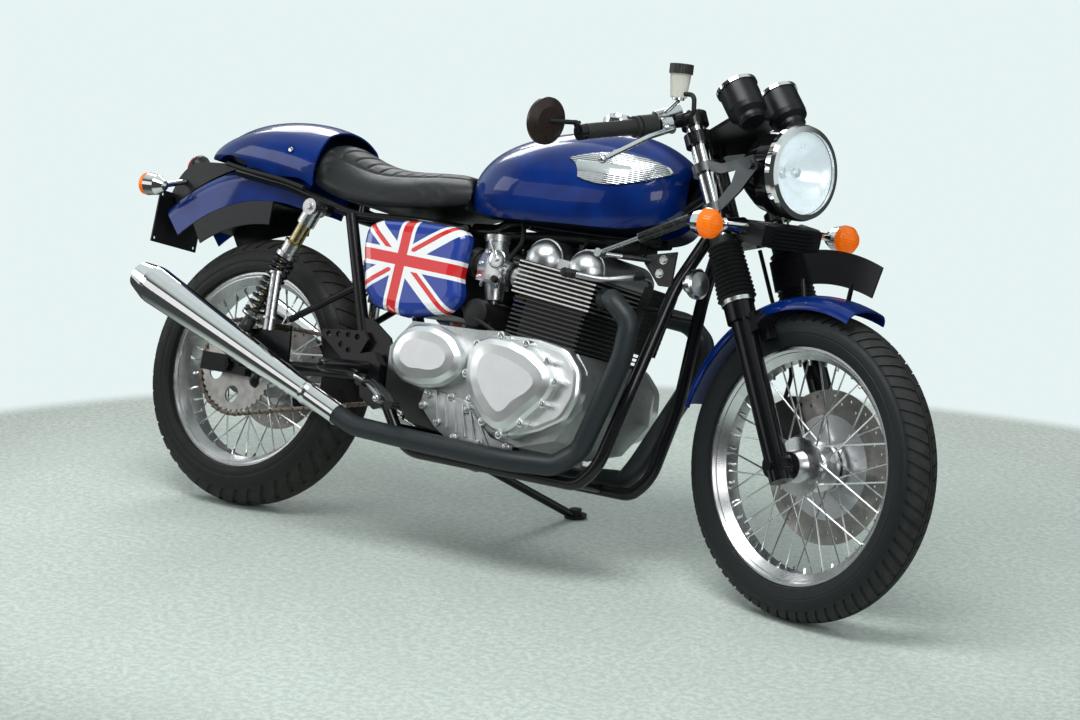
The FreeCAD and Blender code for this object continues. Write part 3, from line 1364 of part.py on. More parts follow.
def damper():
    """The steering damper along the right side, held by a stay on its two-hole gusset at the downtube."""
    start = Vector(985, -165, 684)
    end = Vector(1186, -158, 778)
    along = (end - start).normalize()
    shaft = rod(start, start + along * 110, 5)
    body = rod(start + along * 100, end, 11)
    eye = rod(start + Vector(0, -7, 0), start + Vector(0, 21, 0), 9)
    stay = rod((1062, -74, 692), (988, -148, 684), 6)
    gusset = slab([(1121, 716), (1050, 702), (1046, 684), (1090, 640), (1121, 640)], -78, -72)
    holes = [rod((x, -90, z), (x, -60, z), r) for x, z, r in ((1092, 696, 9), (1088, 666, 7))]
    tube = bent_rod(downtube(RIGHT), [300, 300, 120, 50, 90], CRADLE_R + SEAT_GAP)
    return joined([shaft, body, eye, stay, gusset.cut(holes)]).cut(tube)


def oil_lines():
    """The braided oil line from the head's right side to the cooler."""
    line = bent_rod([(906, -150, 634), (906, -160, 634), (996, -154, 628), (1054, -94, 656), (1053.4, -40, 653.1),
                     (1049.8, -40, 635.8)], [8, 60, 30, 14], 5)
    union = rod((906, -145.4, 634), (906, -154, 634), 9)
    return joined([line, union])


def rear_caliper():
    """The rear caliper with the lug that hangs it from the left arm of the swingarm."""
    body = block((60, 60, 250), (128, 98, 300))
    lug = block((78, 88, 280), (112, 112, 324))
    low = REAR_DISC_Y - 3
    high = REAR_DISC_Y + DISC_T + 3
    slot_r = REAR_DISC_R + 4
    slot = turned([(30, low), (slot_r, low), (slot_r, high), (30, high)], REAR_AXLE, Y_AXIS)
    return joined([body, lug]).cut(slot)


def chassis_nodes():
    """Everything fixed to the frame."""
    bodies, lenses = rear_indicators()
    return {
        "main_frame": main_frame(),
        "swingarm": swingarm(),
        "shocks": shocks(),
        "shock_springs": shock_springs(),
        "chain": chain(),
        "crankcase": crankcase(),
        "cylinder_barrel": cylinder_barrel(),
        "cylinder_head": cylinder_head(),
        "cam_covers": cam_covers(),
        "engine_covers": engine_covers(),
        "carburettors": carburettors(),
        "airbox": airbox(),
        "headers": headers(),
        "mufflers": mufflers(),
        "oil_cooler": oil_cooler(),
        "horn": horn(),
        "damper": damper(),
        "oil_lines": oil_lines(),
        "fuel_tank": fuel_tank(),
        "tank_trim": together([tank_badge(side) for side in SIDES] + [fuel_cap()]),
        "seat_pad": seat_pad(),
        "tail_cowl": tail_cowl(),
        "rear_fender": rear_fender(),
        "inner_fender": inner_fender(),
        "tail_bracket": tail_bracket(),
        "tail_light": tail_light(),
        "rear_indicators": bodies,
        "rear_lenses": lenses,
        "side_panels": together([side_panel(side) for side in SIDES]),
        "rear_sets": together([rear_sets(), pedals()]),
    }


# ---------------------------------------------------------------- parking
def steered(point):
    """Where a steering-head point goes when the bars are at rest."""
    turn = Placement(Vector(0, 0, 0), Rotation(STEER_DIR, REST_STEER), STEER_POINT)
    return turn.multVec(point)


STEER_TURN = Placement(Vector(0, 0, 0), Rotation(STEER_DIR, REST_STEER), STEER_POINT)


def lowest_of_tyre(place, axle, radius, width, axis):
    """The lowest height of a leaned round-crowned tyre."""
    crown = width / 2
    spin = place.Rotation.multVec(axis)
    return place.multVec(axle).z - (radius - crown) * math.sqrt(1 - spin.z ** 2) - crown


def parked_place():
    """The placement that leans the bike and sets both tyres on the floor."""
    lean = Placement(Vector(0, 0, 0), Rotation(X_AXIS, -LEAN))
    front_axle = STEER_TURN.multVec(FRONT_AXLE)
    front_spin = STEER_TURN.Rotation.multVec(Y_AXIS)
    pitch = 0.0
    for _ in range(6):
        place = Placement(Vector(0, 0, 0), Rotation(Y_AXIS, pitch)).multiply(lean)
        rear = lowest_of_tyre(place, REAR_AXLE, REAR_TYRE_R, REAR_TYRE_W, Y_AXIS)
        front = lowest_of_tyre(place, front_axle, FRONT_TYRE_R, FRONT_TYRE_W, front_spin)
        pitch += math.degrees((front - rear) / WHEELBASE)
    return Placement(Vector(0, 0, -rear), Rotation()).multiply(place)


PARKED = parked_place()


def stand_hinge():
    """The stand's pivot, foot, hinge axis and swing, on the upright bike."""
    pivot = vec(STAND_PIVOT)
    foot = PARKED.inverse().multVec(Vector(STAND_FOOT_X, STAND_FOOT_Y, 0))
    leg = (foot - pivot).normalize()
    folded = vec(STAND_FOLDED).normalize()
    axis = leg.cross(folded).normalize()
    swing = math.degrees(leg.getAngle(folded))
    return pivot, foot, axis, swing


def side_stand():
    """The stand: a leg on its pivot lug and a foot flat on the floor."""
    pivot, foot, axis, swing = stand_hinge()
    leg_dir = (foot - pivot).normalize()
    lug = rod(pivot - axis * STAND_LUG_HALF, pivot + axis * STAND_LUG_HALF, 15)
    leg = rod(pivot, foot - leg_dir * 14, STAND_LEG_R)
    pad = Part.makeCylinder(27, 7, Vector(STAND_FOOT_X, STAND_FOOT_Y, 0), Z_AXIS)
    knuckle = Part.makeCylinder(15, 16, Vector(STAND_FOOT_X, STAND_FOOT_Y, 4), Z_AXIS)
    for shape in (pad, knuckle):
        shape.Placement = PARKED.inverse().multiply(shape.Placement)
    return joined([lug, leg, pad, knuckle])


def stand_bracket():
    """The two ears on the left lower rail that hold the stand's pivot."""
    pivot, _, axis, _ = stand_hinge()
    inward = Vector(0, -axis.z, axis.y).normalize()
    pieces = [block((pivot.x - 13, CRADLE_HALF_W + 1, 191), (pivot.x + 13, CRADLE_HALF_W + 7, 229))]
    for gap in (STAND_LUG_HALF + 0.4, -STAND_LUG_HALF - 6.4):
        foot = pivot + axis * gap
        ear = Part.makeCylinder(15, 6, foot, axis)
        side = X_AXIS * 12
        corners = [foot + side, foot - side, foot - side + inward * 31, foot + side + inward * 31]
        web = Part.Face(Part.makePolygon(corners + corners[:1])).extrude(axis * 6)
        pieces += [ear, web]
    return joined(pieces)


# ---------------------------------------------------------------- the whole bike
def model():
    """All nodes by body, leaned and parked, and the shift that centres them on the floor."""
    bodies = {
        "chassis": chassis_nodes(),
        "steering": steering_nodes(),
        "front_wheel": front_wheel_nodes(),
        "rear_wheel": rear_wheel_nodes(),
        "side_stand": {"side_stand": side_stand()},
    }
    for body, nodes in bodies.items():
        for shape in nodes.values():
            if body in ("steering", "front_wheel"):
                shape.Placement = STEER_TURN.multiply(shape.Placement)
            shape.Placement = PARKED.multiply(shape.Placement)
    everything = Part.makeCompound([s for nodes in bodies.values() for s in nodes.values()])
    box = everything.optimalBoundingBox(False, False)
    shift = Vector(-box.Center.x, -box.Center.y, -box.ZMin)
    for nodes in bodies.values():
        for shape in nodes.values():
            shape.Placement = Placement(shift, Rotation()).multiply(shape.Placement)
    return bodies, shift


def joint_frames(shift):
    """Pivot points and axes of the joints, in the parked bike's frame."""
    steer_turned = PARKED.multiply(STEER_TURN)
    pivot, _, axis, swing = stand_hinge()
    frames = {
        "steering": (PARKED.multVec(STEER_POINT + STEER_DIR * LOWER_YOKE_AT), PARKED.Rotation.multVec(STEER_DIR)),
        "front_wheel_spin": (steer_turned.multVec(FRONT_AXLE), steer_turned.Rotation.multVec(Y_AXIS)),
        "rear_wheel_spin": (PARKED.multVec(REAR_AXLE), PARKED.Rotation.multVec(Y_AXIS)),
        "stand_fold": (PARKED.multVec(pivot), PARKED.Rotation.multVec(axis)),
    }
    frames = {name: (point + shift, axis) for name, (point, axis) in frames.items()}
    return frames, swing


def main():
    """Build every node and write one STEP file for each."""
    os.makedirs("parts", exist_ok=True)
    bodies, shift = model()
    for body, nodes in bodies.items():
        for node, shape in nodes.items():
            shape.exportStep(os.path.join("parts", node + ".step"))
            print(f"{body:12s} {node:24s} solids {len(shape.Solids):3d} volume {shape.Volume / 1000:9.1f} cm3")
    frames, swing = joint_frames(shift)
    for name, (point, axis) in frames.items():
        print(f"{name}: at {point}, axis {axis}")
    print(f"stand swing {swing:.2f} degrees")


main()
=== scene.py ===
"""Finishes and fine pieces for a parked cafe racer motorcycle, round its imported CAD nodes."""
from __future__ import annotations

import json
import logging
import math
from contextlib import contextmanager
from dataclasses import dataclass
from enum import Enum
from typing import Iterable, Iterator, Sequence

import bpy
from mathutils import Matrix, Vector


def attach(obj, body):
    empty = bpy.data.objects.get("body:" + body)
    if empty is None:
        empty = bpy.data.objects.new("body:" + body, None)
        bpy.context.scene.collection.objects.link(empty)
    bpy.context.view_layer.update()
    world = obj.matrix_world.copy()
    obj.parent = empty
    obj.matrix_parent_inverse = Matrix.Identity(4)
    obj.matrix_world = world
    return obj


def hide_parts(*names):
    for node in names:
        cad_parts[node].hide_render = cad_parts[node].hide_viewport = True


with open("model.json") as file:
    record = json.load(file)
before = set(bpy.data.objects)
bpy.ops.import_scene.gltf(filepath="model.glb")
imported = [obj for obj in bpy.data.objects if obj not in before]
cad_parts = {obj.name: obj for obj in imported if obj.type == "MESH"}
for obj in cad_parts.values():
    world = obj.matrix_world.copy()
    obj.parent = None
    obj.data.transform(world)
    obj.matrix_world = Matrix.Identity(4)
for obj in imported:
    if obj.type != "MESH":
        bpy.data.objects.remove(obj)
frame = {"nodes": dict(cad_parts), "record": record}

LOG = logging.getLogger("cafe_racer")
MM = 0.001
AXLE_M = 0.320
RAKE_DEG = 26.7
Rgb = tuple[float, float, float]
Point = tuple[float, float, float]
Loop = Sequence[tuple[float, float]]
Path = Sequence[Point]
Material = bpy.types.Material
Piece = bpy.types.Object
AHEAD: Point = (1, 0, 0)
LEFT: Point = (0, 1, 0)
UP: Point = (0, 0, 1)


class Side(Enum):
    """Which hand of the machine a piece is on."""
    RIGHT = -1
    LEFT = 1

    def of(self, point: Point) -> Point:
        """A point or direction of the left side, carried to this one."""
        return point[0], self.value * point[1], point[2]

    def run(self, path: Path) -> Path:
        """A path of the left side, carried to this one."""
        return [self.of(point) for point in path]


# ---------------------------------------------------------------- where the drawing lies
@dataclass(frozen=True)
class Datum:
    """Carries an upright drawing in millimetres, x ahead, y left and z up, to where one body stands parked."""
    place: Matrix
    body: str

    def point(self, x: float, y: float, z: float) -> Vector:
        """A drawn point, in the row frame in metres."""
        return self.place @ Vector((x * MM, y * MM, z * MM))

    def way(self, x: float, y: float, z: float) -> Vector:
        """A drawn direction in the row frame, one long."""
        return (self.place.to_3x3() @ Vector((x, y, z))).normalized()

    @staticmethod
    def _joint(name: str) -> tuple[Vector, Vector]:
        """A joint's point and axis.

        Args:
            name: the joint's name in the record.

        Returns:
            The point in metres and the unit axis.
        """
        found = next(j for j in frame["record"]["behaviour"]["joints"] if j["name"] == name)
        return Vector(found["pos_m"]), Vector(found["axis"]).normalized()

    @staticmethod
    def _placed(origin: Vector, ahead: Vector, left: Vector, up: Vector) -> Matrix:
        """The matrix whose columns are three directions, at a point.

        Args:
            origin: where the drawing's zero comes to lie.
            ahead: the drawing's x.
            left: the drawing's y.
            up: the drawing's z.

        Returns:
            The placement.
        """
        turn = Matrix((ahead, left, up)).transposed().to_4x4()
        return Matrix.Translation(origin) @ turn

    def wheel(self, body: str, lift_m: float = 0.0) -> "Datum":
        """The same drawing for a wheel, its zero lifted to the axle."""
        return Datum(self.place @ Matrix.Translation((0, 0, lift_m)), body)

    @classmethod
    def chassis(cls) -> "Datum":
        """The drawing of the machine standing straight, its zero on the ground under the rear axle."""
        axle, left = cls._joint("rear_wheel_spin")
        _, stem = cls._joint("steering")
        lead = left.cross(stem).normalized()
        rake = math.radians(RAKE_DEG)
        ahead = (lead * math.cos(rake) - stem * math.sin(rake)).normalized()
        up = ahead.cross(left).normalized()
        return cls(cls._placed(axle - up * AXLE_M, ahead, left, up), "chassis")

    @classmethod
    def fork(cls) -> "Datum":
        """The drawing of the steered end, its zero at the front axle and z up along the legs."""
        axle, left = cls._joint("front_wheel_spin")
        _, stem = cls._joint("steering")
        return cls(cls._placed(axle, left.cross(stem).normalized(), left, stem), "steering")


# ---------------------------------------------------------------- shader maths
class Value:
    """A material's socket that takes part in arithmetic."""

    def __init__(self, graph: "Graph", socket: bpy.types.NodeSocket) -> None:
        """Wraps a socket.

        Args:
            graph: the material's node graph.
            socket: the output that carries the number or vector.
        """
        self.graph = graph
        self.socket = socket

    def _math(self, operation: str, *values: "Value | float") -> "Value":
        """One Math node on these values."""
        return self.graph.node("ShaderNodeMath", {"operation": operation}, dict(enumerate(values)))

    def __add__(self, other: "Value | float") -> "Value":
        """Sum."""
        return self._math("ADD", self, other)

    __radd__ = __add__

    def __sub__(self, other: "Value | float") -> "Value":
        """Difference."""
        return self._math("SUBTRACT", self, other)

    def __rsub__(self, other: float) -> "Value":
        """Difference, with the number first."""
        return self._math("SUBTRACT", other, self)

    def __mul__(self, other: "Value | float") -> "Value":
        """Product."""
        return self._math("MULTIPLY", self, other)

    __rmul__ = __mul__

    def __truediv__(self, other: "Value | float") -> "Value":
        """Quotient."""
        return self._math("DIVIDE", self, other)

    def __abs__(self) -> "Value":
        """Size without sign."""
        return self._math("ABSOLUTE", self)

    def __mod__(self, other: float) -> "Value":
        """Remainder that is never negative."""
        return self._math("FLOORED_MODULO", self, other)

    def above(self, limit: "Value | float") -> "Value":
        """1 where this is above the limit, else 0."""
        return self._math("GREATER_THAN", self, limit)

    def below(self, limit: "Value | float") -> "Value":
        """1 where this is below the limit, else 0."""
        return self._math("LESS_THAN", self, limit)

    def least(self, other: "Value | float") -> "Value":
        """The smaller of two."""
        return self._math("MINIMUM", self, other)

    def most(self, other: "Value | float") -> "Value":
        """The larger of two."""
        return self._math("MAXIMUM", self, other)

    def sine(self) -> "Value":
        """Sine of an angle in radians."""
        return self._math("SINE", self)

    def root(self) -> "Value":
        """Square root."""
        return self._math("SQRT", self)

    def angle_to(self, other: "Value") -> "Value":
        """Angle of the point (other, self) in radians."""
        return self._math("ARCTAN2", self, other)

    def ramp(self, low: float, high: float, to_low: float = 0.0, to_high: float = 1.0) -> "Value":
        """This value's place between two numbers, as a number between two others.

        Args:
            low: where the result is to_low.
            high: where the result is to_high.
            to_low: the result at low.
            to_high: the result at high.

        Returns:
            The clamped result.
        """
        return self.graph.node("ShaderNodeMapRange", {"interpolation_type": "SMOOTHSTEP"},
                               {"Value": self, "From Min": low, "From Max": high, "To Min": to_low,
                                "To Max": to_high})


class Graph:
    """The node graph of one material, or of the world."""

    def __init__(self, name: str, owner: bpy.types.World | None = None) -> None:
        """Starts an empty graph.

        Args:
            name: the material's name.
            owner: the world that the graph belongs to, or None for a new material.
        """
        self.material = bpy.data.materials.new(name) if owner is None else None
        owner = owner or self.material
        owner.use_nodes = True
        self.tree = owner.node_tree
        self.tree.nodes.clear()
        self._position: Value | None = None

    def node(self, kind: str, settings: dict[str, object] | None = None,
             sockets: dict[str | int, object] | None = None, outlet: str | int = 0) -> Value:
        """Adds a node.

        Args:
            kind: the node's type.
            settings: its own properties, set before its sockets; stops are a ramp's positions and colours.
            sockets: values or Values for its inputs.
            outlet: which output to hand back.

        Returns:
            The output, ready for arithmetic.
        """
        made = self.tree.nodes.new(kind)
        for key, setting in (settings or {}).items():
            if key == "stops":
                ramp = made.color_ramp
                for number, (position, colour) in enumerate(setting):
                    stop = ramp.elements[number] if number < 2 else ramp.elements.new(position)
                    stop.position, stop.color = position, (*colour, 1.0)
            else:
                setattr(made, key, setting)
        for key, value in (sockets or {}).items():
            socket = made.inputs[key]
            if isinstance(value, Value):
                self.tree.links.new(value.socket, socket)
            elif isinstance(value, tuple) and len(value) == 3 and socket.type == "RGBA":
                socket.default_value = (*value, 1.0)
            else:
                socket.default_value = value
        return Value(self, made.outputs[outlet])

    def position(self) -> Value:
        """The surface point, in the row frame in metres."""
        if self._position is None:
            self._position = self.node("ShaderNodeTexCoord", outlet="Object")
        return self._position

    def along(self, origin: Vector, way: Vector) -> Value:
        """How far the surface point lies along a direction from a point, in millimetres.

        Args:
            origin: the point to measure from.
            way: the unit direction.

        Returns:
            The distance.
        """
        away = self.node("ShaderNodeVectorMath", {"operation": "SUBTRACT"}, {0: self.position(), 1: tuple(origin)})
        return self.node("ShaderNodeVectorMath", {"operation": "DOT_PRODUCT"},
                         {0: away, 1: tuple(way / MM)}, "Value")

    def facing(self, way: Vector) -> Value:
        """How much the surface faces a direction, from -1 to 1."""
        normal = self.node("ShaderNodeTexCoord", outlet="Normal")
        return self.node("ShaderNodeVectorMath", {"operation": "DOT_PRODUCT"}, {0: normal, 1: tuple(way)}, "Value")

    def noise(self, size_mm: float, detail: float = 3.0, roughness: float = 0.55,
              stretch: Point = (1.0, 1.0, 1.0)) -> Value:
        """Cloudy noise from 0 to 1.

        Args:
            size_mm: how wide its patches are.
            detail: how many finer layers it has.
            roughness: how strong those layers are.
            stretch: how much denser it is along each axis.

        Returns:
            The noise.
        """
        where = self.node("ShaderNodeMapping", {}, {"Vector": self.position(), "Scale": stretch})
        return self.node("ShaderNodeTexNoise", {}, {"Vector": where, "Scale": 1000.0 / size_mm, "Detail": detail,
                                                    "Roughness": roughness})

    def cells(self, size_mm: float, feature: str = "F1") -> Value:
        """Distance inside cells of about that size."""
        return self.node("ShaderNodeTexVoronoi", {"feature": feature},
                         {"Vector": self.position(), "Scale": 1000.0 / size_mm}, "Distance")

    def mix(self, share: Value | float, low: Value | Rgb, high: Value | Rgb) -> Value:
        """A colour between two.

        Args:
            share: 0 for the first and 1 for the second.
            low: the first colour.
            high: the second colour.

        Returns:
            The mixed colour.
        """
        return self.node("ShaderNodeMix", {"data_type": "RGBA"}, {0: share, 6: low, 7: high}, 2)

    def bump(self, height: Value, depth_mm: float) -> Value:
        """A normal for a height from 0 to 1 of that depth."""
        return self.node("ShaderNodeBump", {}, {"Height": height, "Distance": depth_mm * MM, "Strength": 1.0})

    def fine(self, size_mm: float, depth_mm: float, detail: float = 2.0) -> Value:
        """A normal for fine noise of that size and depth."""
        return self.bump(self.noise(size_mm, detail), depth_mm)

    def ray(self, kind: str) -> Value:
        """1 for rays of a kind, such as Camera, else 0."""
        return self.node("ShaderNodeLightPath", {}, {}, f"Is {kind} Ray")

    def glow(self, colour: Value | Rgb, strength: float) -> Value:
        """A shader that shines evenly."""
        return self.node("ShaderNodeEmission", {}, {"Color": colour, "Strength": strength})

    def blend(self, share: Value, first: Value, second: Value) -> Value:
        """A shader between two, by a share from 0 to 1."""
        return self.node("ShaderNodeMixShader", {}, {0: share, 1: first, 2: second})

    def distance(self, centre: Vector) -> Value:
        """How far the surface point lies from a point, in millimetres."""
        return self.node("ShaderNodeVectorMath", {"operation": "DISTANCE"},
                         {0: self.position(), 1: tuple(centre)}, "Value") * 1000.0

    def finish(self, **sockets: object) -> Material:
        """Ends the material in a surface shader.

        Args:
            sockets: the shader's inputs, with an underscore for each space.

        Returns:
            The material.
        """
        named = {key.replace("_", " "): value for key, value in sockets.items()}
        return self.ended(self.node("ShaderNodeBsdfPrincipled", {}, named))

    def ended(self, shader: Value, kind: str = "ShaderNodeOutputMaterial") -> Material | None:
        """Ends the graph in an output node of that kind."""
        end = self.tree.nodes.new(kind)
        self.tree.links.new(shader.socket, end.inputs["Surface"])
        return self.material


# ---------------------------------------------------------------- finishes
@dataclass(frozen=True)
class Finish:
    """A surface finish: its colour and how it answers light."""
    name: str
    colour: Rgb
    roughness: float = 0.4
    metal: float = 0.0

    def tint(self, gain: float, lift: float = 0.0) -> Rgb:
        """This finish's colour, darker or lighter."""
        return tuple(min(1.0, channel * gain + lift) for channel in self.colour)

    def spread(self, share: Value, low: float = 0.8, high: float = 1.3) -> Value:
        """The roughness between two multiples of its own, by a share from 0 to 1."""
        return share.ramp(0.0, 1.0, self.roughness * low, self.roughness * high)

    def surface(self, graph: Graph) -> dict[str, object]:
        """The shader's inputs for this finish, with an underscore for each space; each kind makes its own."""
        raise NotImplementedError

    def material(self) -> Material:
        """This finish's material."""
        graph = Graph(self.name)
        return graph.finish(**{"Metallic": self.metal, **self.surface(graph)})


@dataclass(frozen=True)
class LampBowl(Finish):
    """The silvered bowl of a lamp, with a painted glow standing in for the light of the room that it gathers."""
    # strength of the painted glow, in place of light that reaches the bowl through the glass
    glow: float = 0.15

    def surface(self, graph: Graph) -> dict[str, object]:
        """Silvering with a faint even painted glow and thin smears."""
        smear = graph.noise(20.0, 4.0).ramp(0.4, 0.8)
        colour = graph.mix(smear, self.colour, self.tint(0.88))
        return dict(Base_Color=colour, Roughness=smear * 0.1 + self.roughness, Emission_Color=colour,
                    Emission_Strength=self.glow)


@dataclass(frozen=True)
class Lacquer(Finish):
    """Deep paint under clear coat."""
    deep: Rgb = (0.0, 0.0, 0.0)
    peel_mm: float = 0.012
    up: Vector = Vector((0, 0, 1))

    def surface(self, graph: Graph) -> dict[str, object]:
        """Colour that deepens in soft clouds, fine peel in the coat, painted shade on the faces that look down."""
        # painted shade: faces that look down are darkened to near black, their coat thinned and roughened
        under = graph.facing(self.up).ramp(-0.92, -0.70, 1.0, 0.0)
        cloud = graph.noise(70.0, 2.0).ramp(0.3, 0.7)
        fleck = graph.cells(0.7).ramp(0.0, 0.5, 1.0, 0.0)
        base = graph.mix(cloud, self.deep, self.colour)
        flecked = graph.mix(fleck * 0.10, base, self.tint(2.2, 0.004))
        colour = graph.mix(under * 0.9, flecked, (0.004, 0.004, 0.006))
        normal = graph.fine(2.6, self.peel_mm, 1.0)
        rough = graph.noise(45.0, 4.0).ramp(0.35, 0.8, self.roughness, self.roughness + 0.08).most(under * 0.9)
        return dict(Base_Color=colour, Roughness=rough, Normal=normal, Coat_Weight=(1.0 - under) * 0.7,
                    Coat_Roughness=0.03, Coat_IOR=1.38, Specular_IOR_Level=0.1)


@dataclass(frozen=True)
class Plated(Finish):
    """Bright chrome with faint haze."""
    haze: float = 0.10

    def surface(self, graph: Graph) -> dict[str, object]:
        """Mirror metal, dulled a little in patches."""
        smear = graph.noise(18.0, 6.0, 0.7).ramp(0.42, 0.8)
        rough = smear * self.haze + self.roughness
        colour = graph.mix(smear * 0.5, self.colour, self.tint(0.82))
        return dict(Base_Color=colour, Roughness=rough)


@dataclass(frozen=True)
class RibbedBadge(Finish):
    """A chrome badge with fine raised ribs and a plain bar across its middle."""
    middle: Vector = Vector((0, 0, 0))
    ahead: Vector = Vector((1, 0, 0))
    left: Vector = Vector((0, 1, 0))
    up: Vector = Vector((0, 0, 1))
    pitch_mm: float = 4.6

    def surface(self, graph: Graph) -> dict[str, object]:
        """Ribs that fan out along the badge, with painted shade between them; the filler cap stays plain."""
        run = graph.along(self.middle, self.ahead)
        high = graph.along(self.middle, self.up)
        flank = abs(graph.along(self.middle, self.left)).above(85.0)
        rib = abs((high * (math.pi / self.pitch_mm) + run * 0.02).sine())
        bar = abs(high + 4.0).below(12.0) * run.above(-70.0) * run.below(62.0)
        # painted shade: the grooves between the ribs on the flanks are darkened nearly to black
        groove_shade = (1.0 - rib.ramp(0.1, 0.55)) * flank * (1.0 - bar)
        colour = graph.mix(groove_shade * 0.9, self.colour, (0.02, 0.02, 0.022))
        height = rib * (1.0 - bar) + bar * 1.4
        return dict(Base_Color=colour, Roughness=groove_shade * 0.4 + self.roughness, Normal=graph.bump(height * flank, 0.8))


@dataclass(frozen=True)
class CastMetal(Finish):
    """Cast or brushed alloy, with its grain and dull oxide."""
    grain_mm: float = 0.6
    depth_mm: float = 0.03
    brushed: Point = (1.0, 1.0, 1.0)
    oxide: float = 0.35
    darkened_from: Vector = Vector((0, 0, 0))
    darkened_way: Vector = Vector((0, 0, -1))
    darkened_mm: tuple[float, float] = (9000.0, 9001.0)

    def surface(self, graph: Graph) -> dict[str, object]:
        """Alloy with cloudy oxide and a fine directional grain, darker and rougher past a level where it has one."""
        # nearly black and rougher past a level along a direction: darker towards the bottom of the crankcase
        darkened = graph.along(self.darkened_from, self.darkened_way).ramp(*self.darkened_mm)
        oxide = graph.noise(34.0, 6.0, 0.65).ramp(0.35, 0.75, 1.0 - self.oxide, 1.0)
        grain = graph.noise(self.grain_mm, 3.0, 0.6, self.brushed)
        clean = graph.mix(oxide, self.tint(0.6), self.colour)
        colour = graph.mix(darkened * 0.92, clean, (0.012, 0.012, 0.012))
        rough = grain.ramp(0.2, 0.8, self.roughness * 0.8, self.roughness * 1.2) + (1.0 - oxide) * 0.12 + darkened * 0.2
        return dict(Base_Color=colour, Roughness=rough, Normal=graph.bump(grain, self.depth_mm))


@dataclass(frozen=True)
class CoatedMetal(Finish):
    """Enamel or powder coat on steel, thin dust in its hollows."""
    peel_mm: float = 0.02
    dust: float = 0.15
    dust_colour: Rgb = (0.16, 0.15, 0.13)

    def surface(self, graph: Graph) -> dict[str, object]:
        """A dark coat with a fine peel and a veil of dust."""
        veil = (graph.noise(60.0, 6.0, 0.7).ramp(0.5, 0.8)) * self.dust
        colour = graph.mix(veil, self.colour, self.dust_colour)
        rough = veil * 0.8 + graph.noise(3.0, 2.0).ramp(0.2, 0.8, self.roughness * 0.85, self.roughness * 1.15)
        return dict(Base_Color=colour, Roughness=rough, Specular_IOR_Level=0.35, Normal=graph.fine(1.8, self.peel_mm))


@dataclass(frozen=True)
class Moulded(Finish):
    """Rubber or moulded plastic with a fine grain."""
    grain_mm: float = 0.9
    depth_mm: float = 0.05
    bloom: float = 0.2

    def surface(self, graph: Graph) -> dict[str, object]:
        """A grained dark skin, greyer where it has bloomed."""
        bloom = graph.noise(48.0, 5.0, 0.65).ramp(0.4, 0.8) * self.bloom
        colour = graph.mix(bloom, self.colour, self.tint(2.0, 0.006))
        rough = bloom * 0.3 + self.roughness
        return dict(Base_Color=colour, Roughness=rough, Specular_IOR_Level=0.3,
                    Normal=graph.bump(graph.cells(self.grain_mm), self.depth_mm))


@dataclass(frozen=True)
class TyreRubber(Finish):
    """Tyre rubber: a scrubbed crown, dusty grooves and a smooth blackened wall."""
    centre: Vector = Vector((0, 0, 0))
    crown_mm: float = 300.0
    dust: Rgb = (0.045, 0.042, 0.038)

    def surface(self, graph: Graph) -> dict[str, object]:
        """Rubber whose dust and gloss follow the distance from the axle."""
        away = graph.distance(self.centre)
        patch = graph.noise(22.0, 6.0, 0.7)
        crown = away.ramp(self.crown_mm - 12.0, self.crown_mm + 8.0)
        dusty = patch.ramp(0.35, 0.75, 0.15, 0.75) * crown
        colour = graph.mix(dusty, self.colour, self.dust)
        rough = crown * 0.18 + patch.ramp(0.3, 0.8, self.roughness, self.roughness + 0.16)
        height = graph.noise(1.3, 3.0, 0.6) * 0.6 + graph.cells(3.5) * 0.4
        return dict(Base_Color=colour, Roughness=rough, Specular_IOR_Level=0.3, Normal=graph.bump(height, 0.12))


@dataclass(frozen=True)
class Vinyl(Finish):
    """Grained seat vinyl."""

    def surface(self, graph: Graph) -> dict[str, object]:
        """Leather-like grain with dulled wear on top."""
        crease = graph.cells(2.3, "DISTANCE_TO_EDGE").ramp(0.0, 0.12)
        pores = graph.noise(0.9, 3.0)
        worn = graph.noise(80.0, 4.0).ramp(0.35, 0.75)
        colour = graph.mix(worn, self.colour, self.tint(1.5, 0.002))
        rough = worn * 0.10 + crease.ramp(0.0, 1.0, self.roughness + 0.12, self.roughness)
        return dict(Base_Color=colour, Roughness=rough, Specular_IOR_Level=0.35,
                    Normal=graph.bump(crease * 0.7 + pores * 0.3, 0.16))


@dataclass(frozen=True)
class Lens(Finish):
    """Clear or tinted moulded glass."""
    flute_mm: float = 0.0
    flutes_along: Vector = Vector((0, 1, 0))
    middle: Vector = Vector((0, 0, 0))
    passing: float = 1.0
    # strength of a painted glow, which the amber lens shows on the indicators and the dial needles
    glow: float = 0.0

    def surface(self, graph: Graph) -> dict[str, object]:
        """Glass with moulded flutes and a little dust; a faint painted glow stands in for light that it gathers."""
        haze = graph.noise(30.0, 5.0).ramp(0.4, 0.8, self.roughness, self.roughness + 0.06)
        colour = graph.mix(haze, self.colour, self.tint(0.92))
        height = graph.noise(9.0, 1.0) * 0.3
        if self.flute_mm:
            across = graph.along(self.middle, self.flutes_along)
            height = height + abs((across * (math.pi / self.flute_mm)).sine())
        return dict(Base_Color=colour, Roughness=haze, IOR=1.49, Transmission_Weight=self.passing,
                    Emission_Color=colour, Emission_Strength=self.glow,
                    Normal=graph.bump(height, 0.5 if self.flute_mm else 0.05))


